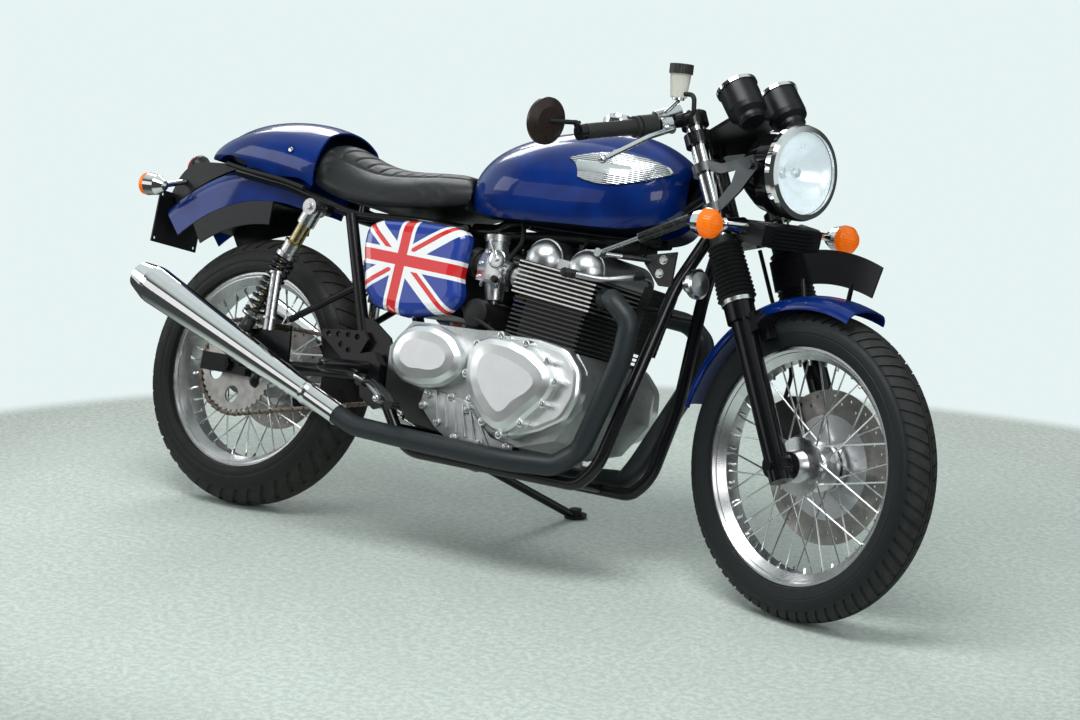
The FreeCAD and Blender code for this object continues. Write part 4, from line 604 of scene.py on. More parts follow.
@dataclass(frozen=True)
class FlutedGlass(Finish):
    """Thin lamp glass with upright flutes and cross bars, seen through."""
    middle: Vector = Vector((0, 0, 0))
    level: Vector = Vector((0, 1, 0))
    upright: Vector = Vector((0, 0, 1))
    flute_mm: float = 7.0
    clear: float = 0.10
    # strength of an even painted glow in the lamp's glass
    glow: float = 0.4

    def surface(self, graph: Graph) -> dict[str, object]:
        """A clear skin whose flutes catch the light, with an even painted glow."""
        across = graph.along(self.middle, self.level)
        high = graph.along(self.middle, self.upright)
        flute = abs((across * (math.pi / self.flute_mm)).sine())
        bars = abs((high * (math.pi / 24.0)).sine()).above(0.985)
        edge = (flute.below(0.30)).most(bars)
        alpha = edge * 0.06 + self.clear + flute * 0.05
        return dict(Base_Color=self.colour, Roughness=edge.ramp(0.0, 1.0, self.roughness, 0.18), Alpha=alpha,
                    Normal=graph.bump(flute, 0.9), Coat_Weight=1.0, Coat_Roughness=0.02, Emission_Color=self.colour,
                    Emission_Strength=self.glow)


@dataclass(frozen=True)
class EdgedFins(Finish):
    """Black fins whose machined edges are left bright."""
    middle: Vector = Vector((0, 0, 0))
    up: Vector = Vector((0, 0, 1))
    ahead: Vector = Vector((1, 0, 0))
    left: Vector = Vector((0, 1, 0))
    half_mm: tuple[float, float] = (103.0, 145.0)
    bright: Rgb = (0.72, 0.72, 0.70)
    share: float = 1.0

    def surface(self, graph: Graph) -> dict[str, object]:
        """Matt black with bare metal on the fins' outermost edges."""
        rim = abs(graph.along(self.middle, self.ahead)).above(self.half_mm[0] - 0.8).most(
            abs(graph.along(self.middle, self.left)).above(self.half_mm[1] - 0.8))
        upright = abs(graph.facing(self.up)).below(0.35) * rim * self.share
        patch = graph.noise(14.0, 4.0).ramp(0.3, 0.7)
        edge = upright * patch.ramp(0.0, 1.0, 0.82, 1.0)
        colour = graph.mix(edge, graph.mix(patch, self.colour, self.tint(1.6)), self.bright)
        rough = edge.ramp(0.0, 1.0, self.roughness, 0.28)
        return dict(Base_Color=colour, Roughness=rough, Metallic=edge, Normal=graph.fine(0.8, 0.03))


@dataclass(frozen=True)
class DiamondGrip(Finish):
    """Rubber grips with raised diamonds."""
    fork: Datum | None = None
    pitch_mm: float = 5.0

    def surface(self, graph: Graph) -> dict[str, object]:
        """Diamonds wound round both clip-on bars, with painted shade in the grooves between them."""
        zero = self.fork.point(0, 0, 0)
        across = abs(graph.along(zero, self.fork.way(0, 1, 0)))
        reach = across - 95.0
        high = graph.along(zero, self.fork.way(0, 0, 1)) - 766.0 + reach * 0.108
        ahead = graph.along(zero, self.fork.way(1, 0, 0)) - 1.0 + reach * 0.2275
        round_bar = high.angle_to(ahead) * 16.5
        turn = math.pi / self.pitch_mm
        one = abs(((across + round_bar) * turn).sine())
        two = abs(((across - round_bar) * turn).sine())
        diamonds = one.least(two).ramp(0.15, 0.5)
        # painted shade: the grooves between the diamonds are half as bright
        colour = graph.mix(diamonds, self.tint(0.5), self.colour)
        return dict(Base_Color=colour, Roughness=diamonds.ramp(0.0, 1.0, 0.8, self.roughness),
                    Normal=graph.bump(diamonds, 0.9))


@dataclass(frozen=True)
class FlagPaint(Finish):
    """The crossed flag on the side panels under clear coat."""
    body: Datum | None = None
    middle: tuple[float, float] = (462.0, 615.0)
    tilt_deg: float = -3.2
    rise_deg: float = 35.0
    cross_mm: float = 13.0
    border_mm: float = 9.5
    band_mm: float = 19.0
    stripe_mm: float = 11.0
    white: Rgb = (0.80, 0.81, 0.82)
    blue: Rgb = (0.005, 0.035, 0.28)

    def surface(self, graph: Graph) -> dict[str, object]:
        """Red upright cross over the red and white diagonals on blue."""
        zero = self.body.point(self.middle[0], 0.0, self.middle[1])
        tilt = math.radians(self.tilt_deg)
        level = graph.along(zero, self.body.way(math.cos(tilt), 0, math.sin(tilt)))
        upright = graph.along(zero, self.body.way(-math.sin(tilt), 0, math.cos(tilt)))
        rise = math.radians(self.rise_deg)
        white: Value | None = None
        red: Value | None = None
        for hand in (1.0, -1.0):
            run = level * math.cos(rise) + upright * (hand * math.sin(rise))
            off = upright * math.cos(rise) - level * (hand * math.sin(rise))
            hand_off = off * (run.above(0.0) * 2.0 - 1.0)
            stripe = hand_off.above(0.0) * hand_off.below(self.stripe_mm)
            band = abs(off).below(self.band_mm)
            white = band if white is None else white.most(band)
            red = stripe if red is None else red.most(stripe)
        cross = abs(level).least(abs(upright))
        border = cross.below(self.cross_mm + self.border_mm)
        core = cross.below(self.cross_mm)
        white = white.most(border)
        red = (red * (1.0 - border)).most(core)
        ground = graph.mix(white, self.blue, self.white)
        colour = graph.mix(red, ground, self.colour)
        normal = graph.fine(2.8, 0.012, 1.0)
        rough = graph.noise(40.0, 4.0).ramp(0.3, 0.8, self.roughness, self.roughness + 0.1)
        return dict(Base_Color=colour, Roughness=rough, Normal=normal, Coat_Weight=1.0, Coat_Roughness=0.04)


@dataclass(frozen=True)
class TurnedMetal(Finish):
    """Metal with fine turning marks round an axle, brighter inside a radius."""
    centre: Vector = Vector((0, 0, 0))
    axle: Vector = Vector((0, 1, 0))
    carrier_mm: float = 0.0
    carrier: Rgb = (0.7, 0.7, 0.7)

    def surface(self, graph: Graph) -> dict[str, object]:
        """Rings of wear on the rubbed track, a paler carrier inside."""
        along = graph.along(self.centre, self.axle)
        away = graph.distance(self.centre)
        radius = (away * away - along * along).root()
        rings = abs((radius * 2.9).sine()) * 0.5 + abs((radius * 0.83).sine()) * 0.5
        wear = graph.noise(20.0, 4.0).ramp(0.3, 0.7)
        inner = radius.below(self.carrier_mm)
        worn = graph.mix(wear, self.tint(0.7), self.colour)
        colour = graph.mix(inner, worn, self.carrier)
        rough = self.spread(rings)
        return dict(Base_Color=colour, Roughness=rough, Normal=graph.bump(rings * (1.0 - inner), 0.02))


@dataclass(frozen=True)
class BandedMetal(Finish):
    """Two finishes that meet at a level along a line, such as a shock's gold body and bright ends."""
    start: Vector = Vector((0, 0, 0))
    way: Vector = Vector((0, 0, 1))
    bands: tuple[tuple[float, float, Rgb, float], ...] = ()
    across: Vector = Vector((0, 1, 0))
    reach_mm: float = 1000.0
    grain_mm: float = 0.9

    def surface(self, graph: Graph) -> dict[str, object]:
        """The colour of each band by its distance along the line."""
        run = graph.along(self.start, self.way)
        near = abs(graph.along(self.start, self.across)).below(self.reach_mm)
        wear = graph.noise(12.0, 5.0).ramp(0.3, 0.75)
        colour: Value | Rgb = self.colour
        metal: Value | float = self.metal
        for low, high, tint, shine in self.bands:
            here = run.above(low) * run.below(high) * near
            colour = graph.mix(here, colour, tint)
            metal = here * shine + (1.0 - here) * metal
        worn = graph.mix(wear * 0.35, colour, (0.08, 0.08, 0.08))
        rough = self.spread(wear)
        return dict(Base_Color=worn, Roughness=rough, Metallic=metal, Normal=graph.fine(self.grain_mm, 0.05))


@dataclass(frozen=True)
class DialPrint:
    """The print of a round instrument: plain ticks round a dark face."""
    middle: Vector
    axis: Vector
    level: Vector
    face: Rgb = (0.012, 0.012, 0.013)
    ink: Rgb = (0.85, 0.85, 0.82)

    def material(self) -> Material:
        """Ticks by angle round the middle, a ring and a small lower window."""
        graph = Graph("dial_print")
        third = self.axis.cross(self.level)
        x, y = graph.along(self.middle, self.level), graph.along(self.middle, third)
        radius = (x * x + y * y).root()
        turn = y.angle_to(x) / math.tau + 0.5
        fine = abs((turn * 60.0) % 1.0 - 0.5).above(0.40)
        bold = abs((turn * 12.0) % 1.0 - 0.5).above(0.465)
        ticks = (fine * radius.above(31.0) * radius.below(34.5)).most(bold * radius.above(27.0) * radius.below(34.5))
        ring = radius.above(35.2) * radius.below(35.8)
        window = abs(x).below(7.0) * abs(y + 14.0).below(3.2)
        ink = (ticks * abs(turn - 0.75).above(0.09)).most(ring)
        colour = graph.mix(window * 0.5, graph.mix(ink, self.face, self.ink), (0.20, 0.22, 0.16))
        return graph.finish(Base_Color=colour, Roughness=ink.ramp(0.0, 1.0, 0.5, 0.4))


# ---------------------------------------------------------------- the bench: adding and shaping meshes
class Bench:
    """Adds and shapes new pieces in an upright drawing, in metres, then sets them in place."""

    @staticmethod
    def pick(*pieces: Piece) -> None:
        """Selects these pieces alone, the first one active; given none, leaves nothing selected."""
        if bpy.context.object and bpy.context.object.mode != "OBJECT":
            bpy.ops.object.mode_set(mode="OBJECT")
        bpy.ops.object.select_all(action="DESELECT")
        for piece in pieces:
            piece.select_set(True)
        if pieces:
            bpy.context.view_layer.objects.active = pieces[0]

    @staticmethod
    @contextmanager
    def editing(piece: Piece) -> Iterator[None]:
        """Edit mode on one piece, with all of it selected at first."""
        Bench.pick(piece)
        bpy.ops.object.mode_set(mode="EDIT")
        bpy.ops.mesh.select_mode(type="VERT")
        bpy.ops.mesh.select_all(action="SELECT")
        yield
        bpy.ops.object.mode_set(mode="OBJECT")

    @staticmethod
    def outward() -> None:
        """Turns the faces of the piece in edit mode outwards and selects it all."""
        bpy.ops.mesh.select_all(action="SELECT")
        bpy.ops.mesh.normals_make_consistent(inside=False)

    @staticmethod
    def modified(piece: Piece, kind: str, **settings: object) -> Piece:
        """Adds a modifier with these settings and applies it."""
        Bench.pick(piece)
        modifier = piece.modifiers.new(kind.lower(), kind)
        for key, setting in settings.items():
            setattr(modifier, key, setting)
        bpy.ops.object.modifier_apply(modifier=modifier.name)
        return piece

    @staticmethod
    def turned(profile: Loop, segments: int = 32, wall: float = 0.0) -> Piece:
        """A turned piece on the z axis: a circle extruded and scaled from ring to ring.

        Args:
            profile: radius and height of each ring, in millimetres, upwards.
            segments: how many sides the circle has.
            wall: the wall's thickness in millimetres if the piece is open, or 0 for a solid one.

        Returns:
            The new object.
        """
        Bench.pick()
        first, height = profile[0]
        bpy.ops.mesh.primitive_circle_add(vertices=segments, radius=first * MM, location=(0, 0, height * MM),
                                          fill_type="NOTHING" if wall else "NGON")
        made = bpy.context.object
        bpy.ops.object.transform_apply()
        with Bench.editing(made):
            for (last, low), (radius, high) in zip(profile, profile[1:]):
                bpy.ops.mesh.extrude_region_move(TRANSFORM_OT_translate={"value": (0, 0, (high - low) * MM)})
                grow = radius / last
                bpy.ops.transform.resize(value=(grow, grow, 1), center_override=(0, 0, high * MM))
            Bench.outward()
        return Bench.modified(made, "SOLIDIFY", thickness=wall * MM, offset=-1.0) if wall else made

    @staticmethod
    def prism(outline: Loop, thick: float, bevel: float) -> Piece:
        """A flat plate in the xy plane from z 0 upwards, with softened edges.

        Args:
            outline: its corners in millimetres, in order.
            thick: its thickness.
            bevel: how wide its edges are broken.

        Returns:
            The new object.
        """
        Bench.pick()
        bpy.ops.mesh.primitive_circle_add(vertices=len(outline), radius=MM, fill_type="NGON")
        made = bpy.context.object
        for corner, (x, y) in zip(made.data.vertices, outline):
            corner.co = Vector((x * MM, y * MM, 0))
        with Bench.editing(made):
            bpy.ops.mesh.extrude_region_move(TRANSFORM_OT_translate={"value": (0, 0, thick * MM)})
            Bench.outward()
            bpy.ops.mesh.bevel(offset=bevel * MM, segments=2, clamp_overlap=True)
        return made

    @staticmethod
    def side_plate(outline: Loop, thick: float, bevel: float, y: float, hand: int) -> Piece:
        """A plate on one flank of the machine.

        Args:
            outline: its corners as x and z of the drawing.
            thick: its thickness.
            bevel: how wide its edges are broken.
            y: how far out its inner face lies.
            hand: 1 for the left flank and -1 for the right.

        Returns:
            The plate.
        """
        plate = Bench.prism([(x, -hand * z) for x, z in outline], thick, bevel)
        return Bench.set_at(plate, (0, hand * y, 0), (0, hand, 0), AHEAD)

    @staticmethod
    def block(size: Point, bevel: float) -> Piece:
        """A block about the origin with rounded edges."""
        Bench.pick()
        bpy.ops.mesh.primitive_cube_add(size=1)
        made = bpy.context.object
        made.scale = Vector(size) * MM
        bpy.ops.object.transform_apply()
        with Bench.editing(made):
            bpy.ops.mesh.bevel(offset=bevel * MM, segments=3, clamp_overlap=True)
        return made

    @staticmethod
    def hose(points: Path, radius: float, sides: int = 3, smooth: int = 6) -> Piece:
        """A round hose or wire along a smooth path, in drawing millimetres.

        Args:
            points: the path's control points.
            radius: the hose's radius.
            sides: half the bevel's resolution.
            smooth: how many spans there are between points.

        Returns:
            The hose as a mesh.
        """
        Bench.pick()
        bpy.ops.curve.primitive_nurbs_path_add()
        curve = bpy.context.object.data
        curve.splines.clear()
        spline = curve.splines.new("NURBS")
        spline.points.add(len(points) - 1)
        for knot, point in zip(spline.points, points):
            knot.co = (*(Vector(point) * MM), 1.0)
        spline.order_u = 3
        spline.use_endpoint_u = True
        spline.resolution_u = curve.resolution_u = smooth
        curve.bevel_depth = radius * MM
        curve.bevel_resolution = sides
        curve.use_fill_caps = True
        bpy.ops.object.convert(target="MESH")
        return bpy.context.object

    @staticmethod
    def set_at(piece: Piece, at: Point, way: Point, level: Point) -> Piece:
        """Turns a piece's z axis along a direction and moves it to a drawn point.

        Args:
            piece: a piece made about the origin.
            at: where its origin goes, in millimetres.
            way: where its z axis points.
            level: roughly where its x axis points.

        Returns:
            The piece.
        """
        up = Vector(way).normalized()
        across = up.cross(Vector(level)).normalized()
        turn = Matrix((across.cross(up), across, up)).transposed().to_4x4()
        piece.data.transform(Matrix.Translation(Vector(at) * MM) @ turn)
        return piece

    @staticmethod
    def copies(model: Piece, places: Iterable[tuple[Point, Point, Point]]) -> Piece:
        """Repeats a model at drawn points and directions, and joins the copies.

        Args:
            model: the piece to repeat; the copies take its place.
            places: the point, the z direction and the rough x direction of each copy.

        Returns:
            One object with every copy.
        """
        made = []
        for at, way, level in places:
            copy = model.copy()
            copy.data = model.data.copy()
            bpy.context.collection.objects.link(copy)
            made.append(Bench.set_at(copy, at, way, level))
        bpy.data.objects.remove(model)
        return Bench.joined(made)

    @staticmethod
    def on_flank(spots: Loop, y: float, hand: int, level: Point = AHEAD) -> list[tuple[Point, Point, Point]]:
        """Places on one flank that face outwards, for copies.

        Args:
            spots: x and z of each place.
            y: how far out they lie.
            hand: 1 for the left flank and -1 for the right.
            level: roughly where a copy's x axis points.

        Returns:
            The places.
        """
        return [((x, hand * y, z), (0, hand, 0), level) for x, z in spots]

    @staticmethod
    def joined(pieces: list[Piece]) -> Piece:
        """Joins several pieces into the first."""
        if len(pieces) > 1:
            Bench.pick(*pieces)
            bpy.ops.object.join()
        return pieces[0]

    @staticmethod
    def dressed(piece: Piece, material: Material, smooth_deg: float = 35.0) -> None:
        """Gives a piece one material and smooths its edges below an angle."""
        piece.data.materials.clear()
        piece.data.materials.append(material)
        Bench.pick(piece)
        bpy.ops.object.shade_smooth_by_angle(angle=math.radians(smooth_deg))


# ---------------------------------------------------------------- the stage
@dataclass
class Studio:
    """The plain floor, the soft lamps and the camera, which is placed in the chassis drawing."""
    body: Datum
    floor_colour: Rgb = (0.62, 0.70, 0.65)
    wall_colour: Rgb = (0.80, 0.90, 0.90)
    floor_size_m: float = 60.0
    floor_glow: float = 0.9
    even_mm: tuple[float, float] = (1200.0, 1800.0)
    fade_at: Point = (0.53, -0.60, 0.0)
    fade_mm: tuple[float, float] = (2430.0, 2570.0)
    dark_mm: tuple[float, float] = (1100.0, 1900.0)
    dim: float = 0.07
    ambient: float = 0.34
    open_ends: float = 0.9
    overhead: float = 0.8
    lens_mm: float = 82.98
    sensor_mm: float = 36.0
    eye: Point = (3834.49, -4557.23, 177.18)
    ahead: Point = (-0.556293, 0.829498, 0.049712)
    head_up: Point = (-0.128744, -0.145132, 0.981000)
    lamps_at_height: float = 0.45

    # name, place, width, depth and watts of each lamp
    LAMPS = (("key", (0.4, -1.6, 3.6), 2.6, 1.4, 95.0), ("fill", (3.2, -2.6, 2.0), 1.6, 1.6, 42.0),
             ("rim", (-2.6, 2.4, 2.8), 2.4, 1.2, 60.0), ("tail", (-3.4, -1.8, 1.8), 1.4, 1.4, 18.0),
             ("side", (-2.0, -3.1, 1.5), 1.9, 1.6, 9.0))

    def build(self) -> None:
        """Sets the floor, backdrop, lamps and camera."""
        self._floor()
        self._sky()
        for lamp in self.LAMPS:
            self._lamp(*lamp)
        self._camera()
        bpy.context.scene.view_settings.view_transform = "Standard"
        LOG.info("set the stage")

    def _floor(self) -> None:
        """A wide pale floor that takes the shadow and fades into the background far out."""
        Bench.pick()
        bpy.ops.mesh.primitive_plane_add(size=self.floor_size_m, location=(0, 0, 0))
        floor = bpy.context.object
        floor.name = "floor"
        graph = Graph("floor_paint")
        speck = graph.noise(15.0, 6.0, 0.8).ramp(0.40, 0.60)
        patch = graph.noise(260.0, 4.0, 0.6).ramp(0.35, 0.7)
        grey = graph.mix(patch, tuple(c * 0.93 for c in self.floor_colour), self.floor_colour)
        colour = graph.mix(speck, tuple(c * 0.74 for c in self.floor_colour), grey)
        paint = graph.node("ShaderNodeBsdfPrincipled", {}, {"Base Color": colour, "Roughness": 0.8})
        glossy = graph.ray("Glossy")
        seen = graph.ray("Camera").most(glossy)
        near, far = graph.distance(Vector((0, 0, 0))), graph.distance(Vector(self.fade_at))
        evened = graph.blend(near.ramp(*self.even_mm) * seen, paint, graph.glow(colour, self.floor_glow))
        lit = graph.blend(far.ramp(*self.fade_mm) * seen, evened, graph.glow(self.wall_colour, 1.0))
        graph.ended(graph.blend(near.ramp(*self.dark_mm) * glossy, lit, graph.glow(self.wall_colour, self.dim)))
        floor.data.materials.append(graph.material)

    def _sky(self) -> None:
        """A pale wall all round to the camera, with the room's dim sides in the machine's reflections."""
        world = bpy.data.worlds.new("studio")
        bpy.context.scene.world = world
        graph = Graph("studio", world)
        seen, glossy = graph.ray("Camera").most(graph.ray("Transmission")), graph.ray("Glossy")
        way = graph.node("ShaderNodeTexCoord", {}, {}, "Generated")
        beside = abs(graph.node("ShaderNodeVectorMath", {"operation": "DOT_PRODUCT"},
                                {0: way, 1: tuple(self.body.way(*LEFT))}, "Value"))
        high = graph.node("ShaderNodeSeparateXYZ", {}, {0: way}, "Z")
        room = beside.ramp(0.25, 0.65, self.open_ends, self.dim).most(high.ramp(0.55, 0.85, 0.0, self.overhead))
        strength = seen.most(glossy * room).most((1.0 - glossy) * self.ambient)
        sky = graph.node("ShaderNodeBackground", {}, {"Color": self.wall_colour, "Strength": strength})
        graph.ended(sky, "ShaderNodeOutputWorld")

    def _lamp(self, name: str, at: Point, wide: float, deep: float, watts: float) -> None:
        """One large soft lamp that faces the machine.

        Args:
            name: its name.
            at: its place.
            wide: its width.
            deep: its depth.
            watts: its power.
        """
        bpy.ops.object.light_add(type="AREA", location=at)
        lamp = bpy.context.object
        lamp.name = name
        lamp.data.shape = "RECTANGLE"
        lamp.data.size, lamp.data.size_y, lamp.data.energy = wide, deep, watts
        lamp.rotation_euler = (Vector((0, 0, self.lamps_at_height)) - Vector(at)).to_track_quat("-Z", "Y").to_euler()

    def _camera(self) -> None:
        """The camera, placed in the chassis drawing and carried over."""
        bpy.ops.object.camera_add()
        camera = bpy.context.object
        camera.data.lens, camera.data.sensor_width = self.lens_mm, self.sensor_mm
        forward, up = self.body.way(*self.ahead), self.body.way(*self.head_up)
        right = forward.cross(up).normalized()
        turn = Matrix((right, right.cross(forward), -forward)).transposed().to_4x4()
        camera.matrix_world = Matrix.Translation(self.body.point(*self.eye)) @ turn
        camera.data.clip_start, camera.data.clip_end = 0.05, 100.0
        bpy.context.scene.camera = camera


# ---------------------------------------------------------------- finishes on the CAD nodes
@dataclass
class Wardrobe:
    """Every finish of the machine, and which CAD node wears it."""
    body: Datum
    fork: Datum
    fin_tilt_deg: float = 6.5
    dull_black: Rgb = (0.012, 0.012, 0.012)
    fin_black: Rgb = (0.006, 0.006, 0.006)

    SMOOTH_DEG = {"engine_covers": 66.0, "cam_covers": 50.0, "side_panels": 60.0}

    def outfits(self) -> tuple[tuple[Finish, str], ...]:
        """Every finish and where it is worn.

        Returns:
            Each finish with the names of the CAD nodes that wear it, parted by spaces.
        """
        body, fork, dark = self.body, self.fork, self.dull_black
        left, up, fork_left = body.way(*LEFT), body.way(*UP), fork.way(*LEFT)
        tilt = math.radians(self.fin_tilt_deg)
        fins = {"middle": body.point(860, 0, 478), "up": body.way(math.sin(tilt), 0, math.cos(tilt)),
                "ahead": body.way(math.cos(tilt), 0, -math.sin(tilt)), "left": left}
        front, rear = fork.point(0, 0, 0), body.point(0, 0, AXLE_M / MM)
        return (
            (Lacquer("royal_blue_paint", (0.0005, 0.022, 0.165), 0.30, deep=(0.0003, 0.012, 0.105), up=up),
             "fuel_tank tail_cowl rear_fender front_fender"),
            (Plated("bright_chrome", (0.80, 0.80, 0.80), 0.04, 1.0),
             "mufflers fork_tubes chrome_rings rear_indicators front_indicators"),
            (CastMetal("brushed_covers", (0.82, 0.84, 0.84), 0.36, 1.0, 0.8, 0.015, (1.0, 1.0, 9.0), 0.12),
             "engine_covers"),
            (CastMetal("cast_alloy", (0.50, 0.52, 0.52), 0.40, 0.9, 1.0, 0.10, oxide=0.45,
                       darkened_from=body.point(600, 0, 345), darkened_way=body.way(-0.35, 0, -0.94), darkened_mm=(-8.0, 22.0)),
             "crankcase"),
            (CastMetal("sump_alloy", (0.52, 0.54, 0.54), 0.36, 0.95, 0.9, 0.08, oxide=0.45), ""),
            (RibbedBadge("badge_chrome", (0.78, 0.79, 0.80), 0.10, 1.0, up=up, left=left,
                         middle=body.point(940, 0, 872), ahead=body.way(*AHEAD)), "tank_trim"),
            (CastMetal("polished_alloy", (0.70, 0.72, 0.73), 0.20, 1.0, 0.8, 0.01, oxide=0.2), "controls horn"),
            (CastMetal("satin_alloy", (0.62, 0.64, 0.65), 0.30, 1.0, 0.7, 0.02, oxide=0.25), "cam_covers"),
            (CastMetal("bracket_alloy", (0.10, 0.105, 0.11), 0.30, 1.0, 0.7, 0.02, oxide=0.3), "headlight_ears"),
            (BandedMetal("carb_bands", (0.50, 0.52, 0.53), 0.34, 0.95, start=body.point(606, 0, 640),
                         way=body.way(0.986, 0, -0.167),
                         bands=((-5, 32, dark, 0.0), (112, 128, dark, 0.0), (140, 176, dark, 0.0))), "carburettors"),
            (BandedMetal("damper_bands", (0.010, 0.010, 0.011), 0.26, 0.2, start=body.point(985, -165, 684),
                         way=body.way(0.905, 0.032, 0.423), bands=((-30, 101, (0.55, 0.57, 0.58), 1.0),),
                         across=left, reach_mm=40.0), "damper"),
            (CastMetal("satin_rims", (0.74, 0.75, 0.76), 0.22, 1.0, 0.5, 0.01), "front_wheel rear_wheel"),
            (CoatedMetal("frame_black", (0.006, 0.006, 0.007), 0.20, dust=0.03),
             "main_frame swingarm yokes handlebars side_stand rear_sets"),
            (CoatedMetal("gloss_black", (0.004, 0.004, 0.005), 0.08, peel_mm=0.008, dust=0.02),
             "fork_legs number_plate shock_springs headlight_shell"),
            (CoatedMetal("engine_black", (0.008, 0.008, 0.008), 0.42, dust=0.06), "oil_cooler front_caliper"),
            (CoatedMetal("exhaust_black", (0.016, 0.021, 0.024), 0.44, peel_mm=0.05, dust=0.05), "headers"),
            (Moulded("moulded_black", (0.006, 0.007, 0.008), 0.34),
             "airbox inner_fender tail_bracket gauge_cups regulator"),
            (Moulded("soft_rubber", (0.007, 0.008, 0.008), 0.48, grain_mm=1.4, bloom=0.15),
             "fork_gaiters brake_hoses"),
            (EdgedFins("head_fins", self.fin_black, 0.45, **fins), "cylinder_head"),
            (EdgedFins("barrel_fins", self.fin_black, 0.45, half_mm=(94.0, 138.0), share=0.03, **fins),
             "cylinder_barrel"),
            (DiamondGrip("diamond_grips", (0.020, 0.020, 0.020), 0.5, fork=fork), "grips"),
            (FlagPaint("flag_paint", (0.62, 0.008, 0.012), 0.28, body=body), "side_panels"),
            (TyreRubber("front_rubber", (0.008, 0.011, 0.012), 0.50, centre=front, crown_mm=306.0), "front_tyre"),
            (TyreRubber("rear_rubber", (0.010, 0.010, 0.010), 0.54, centre=rear), "rear_tyre"),
            (CastMetal("braided_steel", (0.50, 0.51, 0.52), 0.35, 1.0, 1.1, 0.35), "oil_lines"),
            (BandedMetal("shock_bands", (0.66, 0.67, 0.68), 0.26, 1.0, start=body.point(190, 0, 706),
                         way=body.way(-0.415, 0, -0.910), across=left, reach_mm=178.0,
                         bands=((44, 97, (0.46, 0.38, 0.20), 1.0), (136, 284, (0.30, 0.26, 0.16), 1.0),
                                (290, 345, (0.02, 0.02, 0.02), 0.3))), "shocks"),
            (Vinyl("seat_vinyl", (0.008, 0.010, 0.011), 0.36), "seat_pad"),
            (FlutedGlass("headlamp_glass", (0.80, 0.90, 0.95), 0.03, middle=front, level=fork_left,
                         upright=fork.way(*UP)), "headlight_lens"),
            (Lens("bulb_glass", (0.96, 0.97, 0.97), 0.02), ""),
            (Lens("dial_pane", (0.96, 0.97, 0.97), 0.02), ""),
            (LampBowl("lamp_bowl", (0.86, 0.93, 0.95), 0.22, 0.55), ""),
            (Lens("amber_lens", (1.0, 0.24, 0.004), 0.10, glow=0.12, flute_mm=6.0, flutes_along=up, middle=front,
                  passing=0.35), "front_lenses rear_lenses"),
            (Lens("red_lens", (0.45, 0.004, 0.004), 0.10, flute_mm=6.0, flutes_along=left, middle=rear,
                  passing=0.2), "tail_light"),
            (Lens("bottle_plastic", (0.80, 0.78, 0.70), 0.35, passing=0.55), "fluid_bottle"),
            (TurnedMetal("front_disc_steel", (0.42, 0.40, 0.38), 0.28, 1.0, centre=front, axle=fork_left,
                         carrier_mm=108.5, carrier=(0.70, 0.71, 0.72)), "front_disc"),
            (TurnedMetal("rear_disc_steel", (0.36, 0.34, 0.32), 0.30, 1.0, centre=rear, axle=left, carrier_mm=70.0,
                         carrier=(0.62, 0.62, 0.62)), "rear_disc"),
            (TurnedMetal("sprocket_steel", (0.50, 0.49, 0.47), 0.30, 1.0, centre=rear, axle=left), "rear_sprocket"),
            (CoatedMetal("chain_steel", (0.20, 0.17, 0.14), 0.36, 0.9, peel_mm=0.03, dust=0.5,
                         dust_colour=(0.10, 0.08, 0.06)), "chain"),
            (CoatedMetal("mirror_brown", (0.022, 0.014, 0.011), 0.30, dust=0.1), "mirrors"),
        )

    def dress(self) -> dict[str, Material]:
        """Puts each node's finish on it.

        Returns:
            The materials by their names.
        """
        materials, bare = {}, set(frame["nodes"])
        for finish, nodes in self.outfits():
            materials[finish.name] = finish.material()
            for node in nodes.split():
                Bench.dressed(frame["nodes"][node], materials[finish.name], self.SMOOTH_DEG.get(node, 35.0))
                bare.discard(node)
        LOG.info("dressed the CAD nodes; left bare: %s", sorted(bare))
        return materials


# ---------------------------------------------------------------- fine pieces
@dataclass
class Maker:
    """What each maker of fine pieces works with: the two drawings and the materials by their names."""
    body: Datum
    fork: Datum
    wear: dict[str, Material]

    def keep(self, piece: Piece, name: str, finish: str | Material, slot: str, smooth_deg: float = 35.0,
             datum: Datum | None = None) -> Piece:
        """Carries a drawn piece to its parked place, dresses it and hangs it on its body.

        Args:
            piece: the piece, drawn upright.
            name: its name.
            finish: its material, or that material's name.
            slot: the record's material slot; not used.
            smooth_deg: the angle below which an edge is smooth.
            datum: the drawing that it was made in, if not the chassis.

        Returns:
            The finished piece.
        """
        datum = datum or self.body
        piece.data.transform(piece.matrix_basis)
        piece.matrix_basis = Matrix.Identity(4)
        piece.data.transform(datum.place)
        piece.name = piece.data.name = name
        Bench.dressed(piece, self.wear[finish] if isinstance(finish, str) else finish, smooth_deg)
        Bench.pick()
        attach(piece, datum.body)
        LOG.info("made %s with %d faces", name, len(piece.data.polygons))
        return piece

    def build(self) -> None:
        """Makes this maker's pieces."""
        raise NotImplementedError


